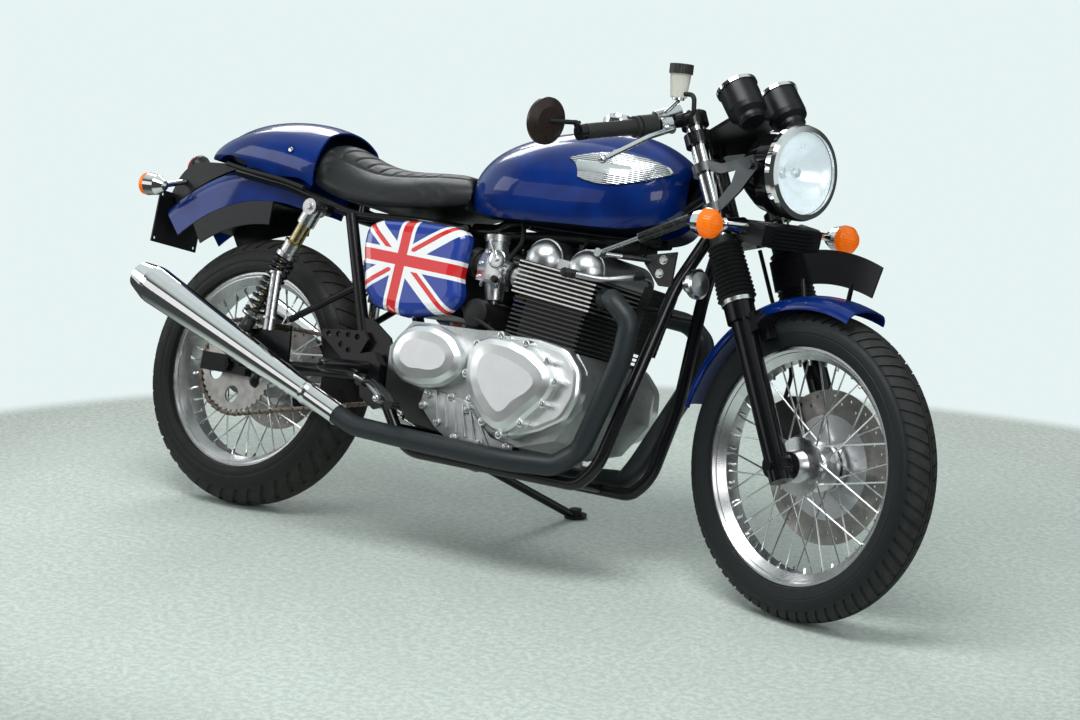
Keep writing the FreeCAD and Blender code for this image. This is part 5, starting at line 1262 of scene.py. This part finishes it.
@dataclass
class Tyre(Maker):
    """A tyre with its moulded tread, drawn about its axle with y across it."""
    wheel: Datum
    name: str
    finish: str
    width: float
    rim_radius: float
    rim_width: float
    pitches: int
    columns: tuple[float, ...]
    tread_deg: tuple[float, float]
    slant_mm: float
    depth: float
    centre_deg: float = 0.0
    radius: float = 318.0

    # how far round from the crown's middle each ring of the section lies, and how far it is sunk
    BANDS = ((2.5, 0), (6, 0), (13, 0), (20, 0), (27, 0), (34, 0), (41, 0), (47, 0), (53, 0), (58, 0.2), (61, 1.2),
             (64, 1.2), (66, 0.3), (74, 0), (82, 0), (86, 0.1), (87.5, 1.0), (89, 0.1))

    def profile(self) -> list[tuple[float, float]]:
        """The section from bead to bead over the crown.

        Returns:
            Across and radius of each corner, in millimetres.
        """
        half = self.width / 2
        crown = self.radius - half
        seat = self.rim_width / 2 - 5.3
        low = math.degrees(math.asin((crown - self.rim_radius - 3) / half))
        flank = [((half - sunk) * math.sin(math.radians(deg)), crown + (half - sunk) * math.cos(math.radians(deg)))
                 for deg, sunk in (*self.BANDS, (90 + low * 0.5, 0), (90 + low, 0))]
        flank += [(seat, self.rim_radius + 0.3), (seat, self.rim_radius - 11)]
        return [(-y, r) for y, r in reversed(flank)] + flank

    def build(self) -> None:
        """Makes the tyre in place of its plain CAD node."""
        section = self.profile()
        Bench.pick()
        bpy.ops.mesh.primitive_circle_add(vertices=len(section), radius=MM)
        piece = bpy.context.object
        for corner, (across, radius) in zip(piece.data.vertices, section):
            corner.co = Vector((radius * MM, across * MM, 0))
        steps = self.pitches * len(self.columns)
        with Bench.editing(piece):
            bpy.ops.mesh.spin(steps=steps, angle=math.tau, center=(0, 0, 0), axis=(0, 1, 0))
            bpy.ops.mesh.select_all(action="SELECT")
            bpy.ops.mesh.remove_doubles(threshold=1e-6)
            Bench.outward()
            bpy.ops.mesh.select_all(action="DESELECT")
            bpy.ops.mesh.select_mode(type="FACE")
        self._mark_grooves(piece, steps)
        self._slant(piece, steps)
        bpy.ops.object.mode_set(mode="EDIT")
        bpy.ops.mesh.extrude_region_shrink_fatten(TRANSFORM_OT_shrink_fatten={"value": -self.depth * MM})
        bpy.ops.object.mode_set(mode="OBJECT")
        self.keep(piece, f"{self.name}_treaded", self.finish, "tyre", 40.0, self.wheel)
        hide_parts(self.name)

    def _angles(self, point: Vector) -> tuple[float, float]:
        """How far a point lies round from the crown's middle, in degrees, and round the axle, in turns."""
        radius = math.hypot(point.x, point.z) / MM
        lean = math.degrees(math.atan2(point.y / MM, radius - (self.radius - self.width / 2)))
        return lean, (math.atan2(point.z, point.x) / math.tau) % 1.0

    def _mark_grooves(self, piece: Piece, steps: int) -> None:
        """Selects the faces that the tread's grooves sink."""
        low, high = self.tread_deg
        count = len(self.columns)
        for face in piece.data.polygons:
            lean, turn = self._angles(face.center)
            shift = count // 2 if lean < 0 else 0
            lead = (int(turn * steps) % count + shift) % count == 0
            face.select = (lead and low < abs(lean) < high) or 2.5 < abs(lean) < self.centre_deg

    def _slant(self, piece: Piece, steps: int) -> None:
        """Narrows the groove columns and sweeps them back towards the shoulders."""
        count, shoulder = len(self.columns), 60.0
        for corner in piece.data.vertices:
            lean, turn = self._angles(corner.co)
            index = round(turn * steps)
            share = self.columns[index % count] + index // count
            radius = math.hypot(corner.co.x, corner.co.z)
            swept = self.slant_mm * MM * min(abs(lean), shoulder) / shoulder / radius
            angle = math.tau * share / self.pitches + swept
            corner.co = Vector((radius * math.cos(angle), corner.co.y, radius * math.sin(angle)))


@dataclass
class SeatPad(Maker):
    """The padded seat, blown up by a cloth simulation, with its sewn panel."""
    voxel_mm: float = 6.0
    shrink_mm: float = 4.0
    cap_mm: float = 7.0
    channels: tuple[float, ...] = (196, 236, 276, 316, 356, 396, 436, 474)
    panel_mm: float = 84.0
    panel_ends: tuple[float, float] = (150.0, 545.0)
    pad_end: float = 560.0
    bow_mm: float = 16.0
    depth: float = 2.6
    frames: int = 20

    def build(self) -> None:
        """Makes the pad in place of its plain CAD node."""
        node = frame["nodes"]["seat_pad"]
        piece = node.copy()
        piece.data = node.data.copy()
        bpy.context.collection.objects.link(piece)
        piece.data.transform(self.body.place.inverted())
        with Bench.editing(piece):
            bpy.ops.mesh.remove_doubles(threshold=1e-5)
            bpy.ops.mesh.normals_make_consistent(inside=False)
            bpy.ops.transform.shrink_fatten(value=-self.shrink_mm * MM)
        Bench.modified(piece, "REMESH", mode="VOXEL", voxel_size=self.voxel_mm * MM)
        Bench.modified(piece, "SMOOTH", iterations=5, factor=0.5)
        self._blow_up(piece)
        Bench.modified(piece, "SUBSURF", levels=1, render_levels=1)
        self._sew(piece)
        self.keep(piece, "seat_pad_sewn", "seat_vinyl", "seat_vinyl", 60.0)
        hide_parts("seat_pad")

    def _blow_up(self, piece: Piece) -> None:
        """Swells the pad like stuffed vinyl, its base held and no point moved past the cap."""
        still = [corner.co.copy() for corner in piece.data.vertices]
        base = piece.vertex_groups.new(name="base")
        base.add([corner.index for corner in piece.data.vertices if corner.normal.z < -0.5], 1.0, "ADD")
        Bench.pick(piece)
        cloth = piece.modifiers.new("cloth", "CLOTH")
        for key, setting in (("quality", 6), ("mass", 0.3), ("tension_stiffness", 12), ("bending_stiffness", 4),
                             ("use_pressure", True), ("uniform_pressure_force", 4), ("vertex_group_mass", "base")):
            setattr(cloth.settings, key, setting)
        cloth.settings.effector_weights.gravity = 0
        cloth.point_cache.frame_start, cloth.point_cache.frame_end = 1, self.frames
        for step in range(1, self.frames + 1):
            bpy.context.scene.frame_set(step)
        bpy.ops.object.modifier_apply(modifier=cloth.name)
        bpy.context.scene.frame_set(1)
        for corner, start in zip(piece.data.vertices, still):
            moved = corner.co - start
            if moved.length > self.cap_mm * MM:
                corner.co = start + moved.normalized() * self.cap_mm * MM
        piece.vertex_groups.clear()

    def _sew(self, piece: Piece) -> None:
        """Sinks the seams: a line along each edge of the top and bowed channels across it."""
        first, last = self.panel_ends
        for corner in piece.data.vertices:
            x, y, _ = corner.co / MM
            if corner.normal.z < 0.35 or x > self.pad_end:
                continue
            edge = self.panel_mm - max(0.0, x - 430.0) * 0.18
            across = abs(y)
            inside = 1.0 if across < edge else math.exp(-((across - edge) / 4.0) ** 2)
            bow = self.bow_mm * (across / self.panel_mm) ** 2
            sunk = math.exp(-((across - edge) / 3.6) ** 2) if first < x < last else 0.0
            for line in self.channels:
                sunk = max(sunk, inside * math.exp(-((x - line + bow) / 3.8) ** 2))
            corner.co -= corner.normal * sunk * self.depth * MM


@dataclass
class ShockSprings(Maker):
    """Two wound springs on the rear dampers."""
    top: Point = (190.0, 150.0, 706.0)
    foot: Point = (49.0, 150.0, 397.0)
    start: float = 132.0
    end: float = 286.0
    seat: float = 5.0
    turns: float = 9.5
    coil_radius: float = 24.2
    wire: float = 3.8
    steps: int = 95

    def build(self) -> None:
        """Winds both springs in place of their plain CAD node."""
        made = []
        for side in Side:
            top = Vector(side.of(self.top))
            down = (Vector(side.of(self.foot)) - top).normalized()
            across = down.cross(Vector(LEFT)).normalized()
            third = down.cross(across)
            points = []
            for step in range(self.steps + 1):
                share = step / self.steps
                run = self.start + self.seat + (self.end - self.start - 2 * self.seat) * (
                    share * 0.86 + 0.14 * share ** 2)
                angle = math.tau * self.turns * share
                out = across * math.cos(angle) + third * math.sin(angle)
                points.append(tuple(top + down * run + out * self.coil_radius))
            made.append(Bench.hose(points, self.wire, 2, 3))
        piece = self.keep(Bench.joined(made), "shock_springs_wound", "gloss_black", "spring_black", 60.0)
        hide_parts("shock_springs")


@dataclass
class DriveChain(Maker):
    """The roller chain on its two sprockets, link by link; each sprocket is x, z and radius."""
    y: float = -84.0
    pitch: float = 15.9
    rear: Point = (0.0, 320.0, 112.0)
    front: Point = (600.0, 372.0, 42.0)

    WAIST = ((-11.6, -2.6), (-9.6, -4.8), (-6.2, -4.9), (0, -3.4), (6.2, -4.9), (9.6, -4.8), (11.6, -2.6),
             (11.6, 2.6), (9.6, 4.8), (6.2, 4.9), (0, 3.4), (-6.2, 4.9), (-9.6, 4.8), (-11.6, 2.6))
    ROLLER = ((3.2, -7.8), (3.2, -7.2), (4.4, -3.6), (4.9, -3.4), (4.9, 3.4), (4.4, 3.6), (3.2, 7.2), (3.2, 7.8))
    PLATE_MM = 1.6

    @staticmethod
    def _spoke(middle: Vector, radius: float, angle: float) -> Vector:
        """A sprocket's point at an angle."""
        return middle + Vector((radius * math.cos(angle), 0, radius * math.sin(angle)))

    def pins(self) -> list[Vector]:
        """The pins' centres, evenly spaced round both sprockets.

        Returns:
            The points, upright, in millimetres.
        """
        back, big = Vector((self.rear[0], self.y, self.rear[1])), self.rear[2]
        nose, small = Vector((self.front[0], self.y, self.front[1])), self.front[2]
        span = nose - back
        lift = math.atan2(span.z, span.x)
        spread = math.acos((big - small) / span.length)
        high, low = lift + spread, lift - spread
        straight = math.sqrt(span.length ** 2 - (big - small) ** 2)
        over = self._spoke(nose, small, high), self._spoke(back, big, high)
        under = self._spoke(back, big, low), self._spoke(nose, small, low)
        runs = ((big * (math.tau - 2 * spread), lambda s: self._spoke(back, big, high + s / big)),
                (straight, lambda s: under[0].lerp(under[1], s / straight)),
                (small * 2 * spread, lambda s: self._spoke(nose, small, low + s / small)),
                (straight, lambda s: over[0].lerp(over[1], s / straight)))
        total = sum(length for length, _ in runs)
        count = 2 * round(total / self.pitch / 2)
        points = []
        for index in range(count):
            s = total * index / count
            for length, at in runs:
                if s < length:
                    points.append(at(s))
                    break
                s -= length
        return points

    def build(self) -> None:
        """Makes plates and rollers in place of the plain CAD loop."""
        pins = self.pins()
        links = [((a + b) / 2, (b - a).normalized()) for a, b in zip(pins, pins[1:] + pins[:1])]
        pieces = []
        for parity, reach in ((0, 4.1), (1, 6.0)):
            for side in Side:
                shift = Vector((0, side.value * reach - self.PLATE_MM / 2, 0))
                places = [(tuple(at + shift), LEFT, tuple(along)) for at, along in links[parity::2]]
                pieces.append(Bench.copies(Bench.prism(self.WAIST, self.PLATE_MM, 0.3), places))
        pieces.append(Bench.copies(Bench.turned(self.ROLLER, 10), [(tuple(pin), LEFT, AHEAD) for pin in pins]))
        piece = self.keep(Bench.joined(pieces), "chain_links", "chain_steel", "chain_steel", 30.0)
        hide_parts("chain")


@dataclass
class Headlamp(Maker):
    """The reflector and the bulb behind the headlight's glass, in the steered drawing."""
    middle: Point = (177.5, 0.0, 578.0)
    nod_deg: float = 24.7

    # name, finish, slot, profile, sides and wall of each piece
    PARTS = (("headlamp_bowl", "lamp_bowl", "chrome", ((13.0, -62.0), (24.0, -58.0), (40.0, -48.0), (56.0, -34.0),
                                                       (70.0, -19.0), (81.0, -6.5), (85.4, -5.2)), 64, 1.2),
             ("headlamp_bulb", "bulb_glass", "clear_lens", ((4.0, -60.0), (7.5, -56.0), (8.0, -34.0), (6.8, -28.0),
                                                             (3.6, -24.6), (0.8, -24.0)), 24, 0.0),
             ("headlamp_bulb_base", "polished_alloy", "cast_alloy", ((12.6, -66.0), (12.6, -61.5), (10.0, -60.6),
                                                                     (9.0, -58.0), (8.6, -55.0)), 24, 0.0),
             ("headlamp_bulb_shield", "polished_alloy", "cast_alloy", ((10.4, -30.0), (11.0, -29.0), (11.0, -21.0),
                                                                       (8.0, -18.6), (0.8, -18.0)), 24, 0.6))

    def build(self) -> None:
        """Makes the bowl, the bulb, its base and its shield."""
        nod = math.radians(self.nod_deg)
        for name, finish, slot, profile, sides, wall in self.PARTS:
            piece = Bench.turned(profile, sides, wall)
            Bench.set_at(piece, self.middle, (math.cos(nod), 0.0, -math.sin(nod)), LEFT)
            self.keep(piece, name, finish, slot, 40.0, self.fork)


@dataclass
class Dials(Maker):
    """The two instrument faces with their pointers, in the steered drawing."""
    foot: Point = (126.4, 62.0, 714.0)
    head: Point = (106.5, 62.0, 799.0)
    face_mm: float = 88.9
    pointer_deg: float = 218.0

    PLATE = ((37.6, 88.15), (37.6, 88.6), (36.6, 88.9), (3.4, 88.95))
    NEEDLE = ((-8, -1.5), (-8, 1.5), (24, 0.7), (27, 0), (24, -0.7))
    CAP = ((3.6, 88.9), (3.6, 90.6), (2.8, 91.2), (1.0, 91.4))
    PANE = ((37.9, 91.0), (37.9, 91.8), (30.0, 92.6), (18.0, 93.2), (6.0, 93.5))

    def build(self) -> None:
        """Makes each face, its pointer and its glass."""
        way = (Vector(self.head) - Vector(self.foot)).normalized()
        for side in Side:
            middle, name = Vector(side.of(self.foot)), side.name.lower()
            plate = Bench.turned(self.PLATE, 48)
            needle = Bench.prism(self.NEEDLE, 0.8, 0.2)
            needle.data.transform(Matrix.Translation((0, 0, (self.face_mm + 0.4) * MM))
                                  @ Matrix.Rotation(math.radians(self.pointer_deg), 4, "Z"))
            needle = Bench.joined([needle, Bench.turned(self.CAP, 20)])
            face = DialPrint(self.fork.point(*(middle + way * self.face_mm)), self.fork.way(*way),
                             self.fork.way(*LEFT)).material()
            for piece, title, finish, slot, smooth_deg in (
                    (plate, f"dial_{name}", face, "black_plastic", 35.0),
                    (needle, f"dial_needle_{name}", "amber_lens", "amber_lens", 35.0),
                    (Bench.turned(self.PANE, 48), f"dial_glass_{name}", "dial_pane", "clear_lens", 60.0)):
                Bench.set_at(piece, tuple(middle), tuple(way), LEFT)
                self.keep(piece, title, finish, slot, smooth_deg, self.fork)


@dataclass
class Fasteners(Maker):
    """Screws, nuts and bolts over the whole machine."""
    level: Point = (0.31, 0.2, 1.0)

    COVER_SCREWS = ((742, 452), (800, 478), (868, 468), (928, 438), (958, 398), (936, 348), (890, 300), (842, 268),
                    (792, 290), (750, 332), (727, 386))

    @staticmethod
    def socket_screw(radius: float, height: float) -> Piece:
        """A domed screw head with a six-sided socket, its foot at the origin.

        Args:
            radius: the head's radius.
            height: how far it stands up.

        Returns:
            The screw head.
        """
        made = Bench.turned(((radius, 0.0), (radius, height * 0.6), (radius * 0.86, height * 0.9),
                             (radius * 0.55, height)), 18)
        socket = Bench.turned(((radius * 0.5, height * 0.35), (radius * 0.5, height * 1.4)), 6)
        Bench.modified(made, "BOOLEAN", object=socket, operation="DIFFERENCE", solver="EXACT")
        bpy.data.objects.remove(socket)
        return made

    @staticmethod
    def hex_bolt(radius: float, height: float) -> Piece:
        """A six-sided head on its washer, its foot at the origin."""
        washer = Bench.turned(((radius * 1.35, 0.0), (radius * 1.35, 1.2), (radius * 0.9, 1.4)), 24)
        head = Bench.turned(((radius, 1.2), (radius, height * 0.85), (radius * 0.84, height),
                             (radius * 0.3, height)), 6)
        return Bench.joined([washer, head])

    def build(self) -> None:
        """Makes every set of fasteners."""
        both = [side.value for side in Side]
        sets = (("cover_screws", self.socket_screw(6.2, 5.0),
                 [((x, hand * 196.9, z), (0, hand, 0)) for x, z in self.COVER_SCREWS for hand in both]),
                ("pivot_bolts", self.hex_bolt(9.5, 8.0), [((430, hand * 119.9, 352), (0, hand, 0)) for hand in both]),
                ("shock_bolts", self.hex_bolt(8.0, 7.0), [((190, hand * 171.6, 706), (0, hand, 0)) for hand in both]),
                ("cowl_bolts", self.socket_screw(6.0, 4.0),
                 [((66, hand * 126.0, 838), (0, hand, 0.12)) for hand in both]),
                ("plate_bolts", self.hex_bolt(4.2, 4.0), [((-356.1, y, 690), (-1, 0, 0)) for y in (-30, 30)]))
        for name, model, places in sets:
            piece = Bench.copies(model, [(at, way, self.level) for at, way in places])
            self.keep(piece, name, "polished_alloy", "cast_alloy", 30.0)


@dataclass
class Nipples(Maker):
    """The spoke nipples of one wheel, drawn about its axle; each flange is a radius and its place across."""
    wheel: Datum
    name: str
    count: int
    inner: float
    flanges: tuple[tuple[float, float], tuple[float, float]]
    lead_deg: float = 38.0
    stagger: float = 6.0

    NIPPLE = ((3.6, 0.0), (3.6, 5.0), (3.0, 6.0), (3.0, 13.0), (2.4, 14.5), (2.1, 14.6))

    def build(self) -> None:
        """Sets a nipple on each spoke's outer end."""
        places = []
        for index in range(self.count):
            flange_r, flange_y = self.flanges[index % 2]
            angle = math.tau * index / self.count
            hub = angle + math.radians(self.lead_deg if (index // 2) % 2 else -self.lead_deg)
            start = Vector((flange_r * math.cos(hub), flange_y, flange_r * math.sin(hub)))
            end = Vector((self.inner * math.cos(angle), self.stagger * (-1) ** index, self.inner * math.sin(angle)))
            inward = (start - end).normalized()
            places.append((tuple(end - inward), tuple(inward), (0, 1, 0.1)))
        piece = Bench.copies(Bench.turned(self.NIPPLE, 8), places)
        self.keep(piece, self.name, "bright_chrome", "chrome", 30.0, self.wheel)


@dataclass
class Trim(Maker):
    """Small fitted pieces: gaiter clamps, the silencers' cores and the rubber under the cowl."""

    CLAMP = ((34.3, -2.0), (35.4, -1.4), (35.4, 7.4), (34.3, 8.0))
    CORE = ((24.0, -150.0), (24.0, -34.0), (22.6, -30.0), (20.0, -30.0), (19.0, -36.0))
    MUFFLER = ((404, 193, 249), (-238, 214, 490))
    STRIP = ((126, 125, 752), (60, 120, 766), (-10, 113, 774), (-80, 104, 782), (-150, 90, 794))

    def build(self) -> None:
        """Makes each small piece on both sides."""
        for side in Side:
            name = side.name.lower()
            clamp = Bench.set_at(Bench.turned(self.CLAMP, 40, 0.9), side.of((0, 95, 352)), UP, LEFT)
            self.keep(clamp, f"gaiter_clamp_{name}", "polished_alloy", "chrome", datum=self.fork)
            front, back = (Vector(side.of(point)) for point in self.MUFFLER)
            core = Bench.set_at(Bench.turned(self.CORE, 32, 1.2), tuple(back), tuple(back - front), UP)
            self.keep(core, f"silencer_core_{name}", "exhaust_black", "exhaust_grey", 40.0)
            self.keep(Bench.hose(side.run(self.STRIP), 6.0), f"cowl_rubber_{name}", "soft_rubber", "rubber", 60.0)


@dataclass
class Castings(Maker):
    """The sump's flange with its ribs and screwed bosses, below the covers on both sides."""
    face: float = 139.6
    thick: float = 9.0
    boss_mm: float = 13.4

    SUMP = ((592, 346), (706, 330), (738, 298), (790, 260), (846, 252), (846, 236), (690, 234), (636, 260), (586, 304))
    BOSSES = ((604, 330), (596, 304), (642, 272), (694, 246), (764, 246), (834, 246), (716, 310), (668, 332))
    RIBS = ((628, 336, 644, 276), (652, 334, 672, 262), (676, 330, 700, 252), (702, 322, 726, 248),
            (730, 300, 752, 248), (762, 278, 784, 246))
    BOSS = ((9.4, 0.0), (9.0, 12.0), (7.6, 13.4), (3.0, 13.6))

    def build(self) -> None:
        """Makes the flange, its ribs and its screws."""
        screws = []
        for side in Side:
            hand = side.value
            flange = Bench.side_plate(self.SUMP, self.thick, 3.0, self.face, hand)
            ribs = Bench.copies(Bench.block((12.0, 4.6, 74.0), 1.6),
                                [(((x0 + x1) / 2, hand * (self.face + self.thick), (z0 + z1) / 2),
                                  (x1 - x0, 0, z1 - z0), LEFT) for x0, z0, x1, z1 in self.RIBS])
            heads = Bench.copies(Bench.turned(self.BOSS, 20), Bench.on_flank(self.BOSSES, self.face, hand))
            self.keep(Bench.joined([flange, ribs, heads]), f"sump_flange_{side.name.lower()}", "sump_alloy",
                      "cast_alloy", 30.0)
            screws += Bench.on_flank(self.BOSSES, self.face + self.boss_mm, hand, (1, 0, 0.3))
        self.keep(Bench.copies(Fasteners.socket_screw(5.0, 4.0), screws), "sump_screws", "polished_alloy",
                  "cast_alloy", 30.0)


@dataclass(frozen=True)
class Fitting:
    """A turned fitting that both sides have."""
    profile: Loop
    segments: int
    at: Point
    way: Point
    level: Point

    def made(self, side: Side) -> Piece:
        """The fitting of one side."""
        return Bench.set_at(Bench.turned(self.profile, self.segments), side.of(self.at), side.of(self.way), self.level)


@dataclass
class Plumbing(Maker):
    """Hoses, leads, coils, pedals and carburettor fittings between the tank and the ground."""

    # radius and path of each; the left side's, which the right mirrors
    HOSES = ((11.0, ((598, 34, 700), (700, 36, 714), (820, 34, 722), (940, 30, 726), (1040, 22, 740))),
             (5.5, ((706, 60, 744), (722, 64, 706), (708, 70, 676), (692, 76, 644))),
             (3.4, ((681, 78, 554), (684, 92, 516), (706, 112, 496), (712, 118, 480))),
             (5.0, ((592, 96, 552), (634, 116, 520), (690, 122, 506), (728, 118, 488))))
    LEADS = ((3.6, ((944, 24, 716), (906, 44, 724), (876, 55, 722), (870, 56, 700))),
             (3.2, ((659, 78, 700), (656, 76, 730), (700, 58, 738), (860, 44, 734), (1010, 30, 738))))
    BREATHER = ((776, 0, 704), (744, 0, 718), (690, 0, 700), (600, -14, 676))
    COIL = Fitting(((17.0, -42.0), (18.6, -40.0), (18.6, 38.0), (15.0, 42.0), (8.0, 43.0), (6.4, 56.0), (3.0, 57.0)),
                   28, (960, 22, 720), (-1, 0, -0.08), LEFT)
    PLUG_CAP = Fitting(((9.0, -30.0), (9.6, -28.0), (9.6, 2.0), (7.4, 6.0), (7.0, 18.0), (4.4, 20.0)), 20,
                       (868, 56, 690), (0.11, 0, 1), LEFT)
    KNOB = Fitting(((7.6, 0.0), (8.0, 2.0), (8.0, 12.0), (6.6, 14.0), (2.0, 14.4)), 18, (694, 103, 604), LEFT, AHEAD)
    CRANK = Fitting(((19.0, -2.4), (21.0, -1.6), (18.6, 0.0), (21.0, 1.6), (19.0, 2.4), (6.0, 2.8), (5.4, 9.0),
                     (2.0, 9.4)), 32, (690, 110, 648), LEFT, AHEAD)
    STARTER = ((20.0, -124.0), (31.0, -120.0), (33.0, -112.0), (33.0, -30.0), (34.6, -28.0), (34.6, 44.0),
               (30.0, 50.0), (12.0, 52.0))
    CARB_PLATE = ((640, 598), (640, 642), (652, 668), (676, 672), (690, 640), (712, 632), (712, 604), (690, 592))
    CARB_ARM = ((-4, -4), (-4, 4), (46, 2.6), (50, 0), (46, -2.6))
    STUD = ((4.4, 0.0), (4.4, 3.0), (3.6, 4.0), (1.2, 4.2))
    STUDS = ((647, 606), (647, 636), (660, 662), (704, 610), (704, 626))
    BOWL_SCREW = ((4.0, 0.0), (4.0, 14.0), (3.4, 15.0), (1.0, 15.2))
    BOWL_SCREWS = ((652, 98), (694, 98), (652, 58), (694, 58))
    GUSSET = ((1092, 696), (1088, 666))
    LEVER = ((418, 176, 342), (448, 180, 338), (477, 184, 321), (508, 186, 299))
    TOE = Fitting(((7.0, -16.0), (8.4, -14.0), (8.4, 14.0), (7.0, 16.0), (2.0, 16.4)), 20, (508, 192, 299), LEFT,
                  AHEAD)
    STRUT = ((318, 106, 544), (240, 112, 497), (158, 122, 446))
    OIL_LINE = ((906, -148, 634), (912, -164, 634), (960, -164, 630), (1004, -152, 628), (1052, -100, 652),
                (1054, -46, 654), (1050, -40, 637))
    UNION = ((8.0, -12.0), (10.6, -11.0), (10.6, 4.0), (9.0, 5.0), (9.0, 12.0), (7.4, 13.0))
    UNIONS = (((928, -164, 633), (1, 0, -0.05), (0, 0, 1)), ((1052, -100, 652), (0.6, 0.75, 0.2), (0, 0, 1)),
              ((906, -154, 634), (0, 1, 0), (1, 0, 0)))

    def build(self) -> None:
        """Makes every hose and fitting."""
        hoses, leads, metal, dark = [], [], [], []
        for side in Side:
            hoses += [Bench.hose(side.run(path), radius) for radius, path in self.HOSES]
            leads += [Bench.hose(side.run(path), radius) for radius, path in self.LEADS]
            dark += [fitting.made(side) for fitting in (self.COIL, self.PLUG_CAP, self.KNOB)]
            metal += [self.CRANK.made(side), *self._carburettor(side)]
        starter = Bench.turned(self.STARTER, 40)
        dark.append(Bench.set_at(starter, (666, 0, 524), LEFT, AHEAD))
        hoses.append(Bench.hose(self.BREATHER, 9.0))
        for pieces, name, finish, slot in ((hoses, "rubber_hoses", "soft_rubber", "rubber"),
                                           (leads, "leads_and_cables", "soft_rubber", "rubber"),
                                           (metal, "carburettor_fittings", "polished_alloy", "cast_alloy"),
                                           (dark, "coils_and_starter", "engine_black", "engine_black")):
            self.keep(Bench.joined(pieces), name, finish, slot, 40.0)
        self._pedals()
        self._oil_line()
        bolts = Bench.copies(Fasteners.hex_bolt(7.4, 7.0), [place for side in Side for place in Bench.on_flank(
            self.GUSSET, 77.6, side.value, (1, 0, 0.2))])
        self.keep(bolts, "gusset_bolts", "polished_alloy", "cast_alloy", 30.0)

    def _carburettor(self, side: Side) -> list[Piece]:
        """The plate, arm, studs and float bowl screws of one side's carburettor."""
        hand = side.value
        arm = Bench.set_at(Bench.prism(self.CARB_ARM, 3.0, 0.6), side.of((690, 112, 648)), (0, hand, 0),
                           (-0.5, 0, 0.86))
        return [Bench.side_plate(self.CARB_PLATE, 5.0, 1.2, 101.5, hand), arm,
                Bench.copies(Bench.turned(self.STUD, 12), Bench.on_flank(self.STUDS, 106.4, hand)),
                Bench.copies(Bench.turned(self.BOWL_SCREW, 12),
                             [((x, hand * y, 600), (0, 0, -1), AHEAD) for x, y in self.BOWL_SCREWS])]

    def _pedals(self) -> None:
        """The polished pedal and the strut behind the footrest of each side."""
        for side in Side:
            name = side.name.lower()
            lever = Bench.joined([Bench.hose(side.run(self.LEVER), 6.2, 4), self.TOE.made(side)])
            self.keep(lever, f"pedal_{name}", "polished_alloy", "cast_alloy", 60.0)
            strut = Bench.hose(side.run(self.STRUT), 8.0, 4)
            self.keep(strut, f"rear_strut_{name}", "frame_black", "black_frame", 60.0)

    def _oil_line(self) -> None:
        """The braided line from the head to the cooler with its unions, in place of the plain one."""
        line = self.keep(Bench.hose(self.OIL_LINE, 7.0, 5, 8), "oil_line_braided", "braided_steel", "chrome", 60.0)
        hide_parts("oil_lines")
        ends = Bench.copies(Bench.turned(self.UNION, 6), self.UNIONS)
        self.keep(ends, "oil_line_unions", "engine_black", "engine_black", 30.0)


# ---------------------------------------------------------------- building it all
def main() -> None:
    """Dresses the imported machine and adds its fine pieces."""
    logging.basicConfig(level=logging.INFO, format="%(name)s: %(message)s")
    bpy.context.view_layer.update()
    body, fork = Datum.chassis(), Datum.fork()
    front, rear = fork.wheel("front_wheel"), body.wheel("rear_wheel", AXLE_M)
    Studio(body).build()
    kit = (body, fork, Wardrobe(body, fork).dress())
    makers = (Tyre(*kit, front, "front_tyre", "front_rubber", 100.0, 243.5, 76.0, 72, (0.0, 0.13, 0.42, 0.71),
                   (9.0, 57.5), 26.0, 3.2, 5.5),
              Tyre(*kit, rear, "rear_tyre", "rear_rubber", 130.0, 231.0, 102.0, 46, (0.0, 0.10, 0.40, 0.70),
                   (14.0, 57.5), 42.0, 3.6),
              SeatPad(*kit), ShockSprings(*kit), DriveChain(*kit), Headlamp(*kit), Dials(*kit), Fasteners(*kit),
              Nipples(*kit, front, "front_nipples", 36, 220.2, ((52, -31), (45, 31))),
              Nipples(*kit, rear, "rear_nipples", 40, 207.7, ((54, -57), (49, 51))),
              Trim(*kit), Castings(*kit), Plumbing(*kit))
    for maker in makers:
        maker.build()


if __name__ == "__main__":
    main()
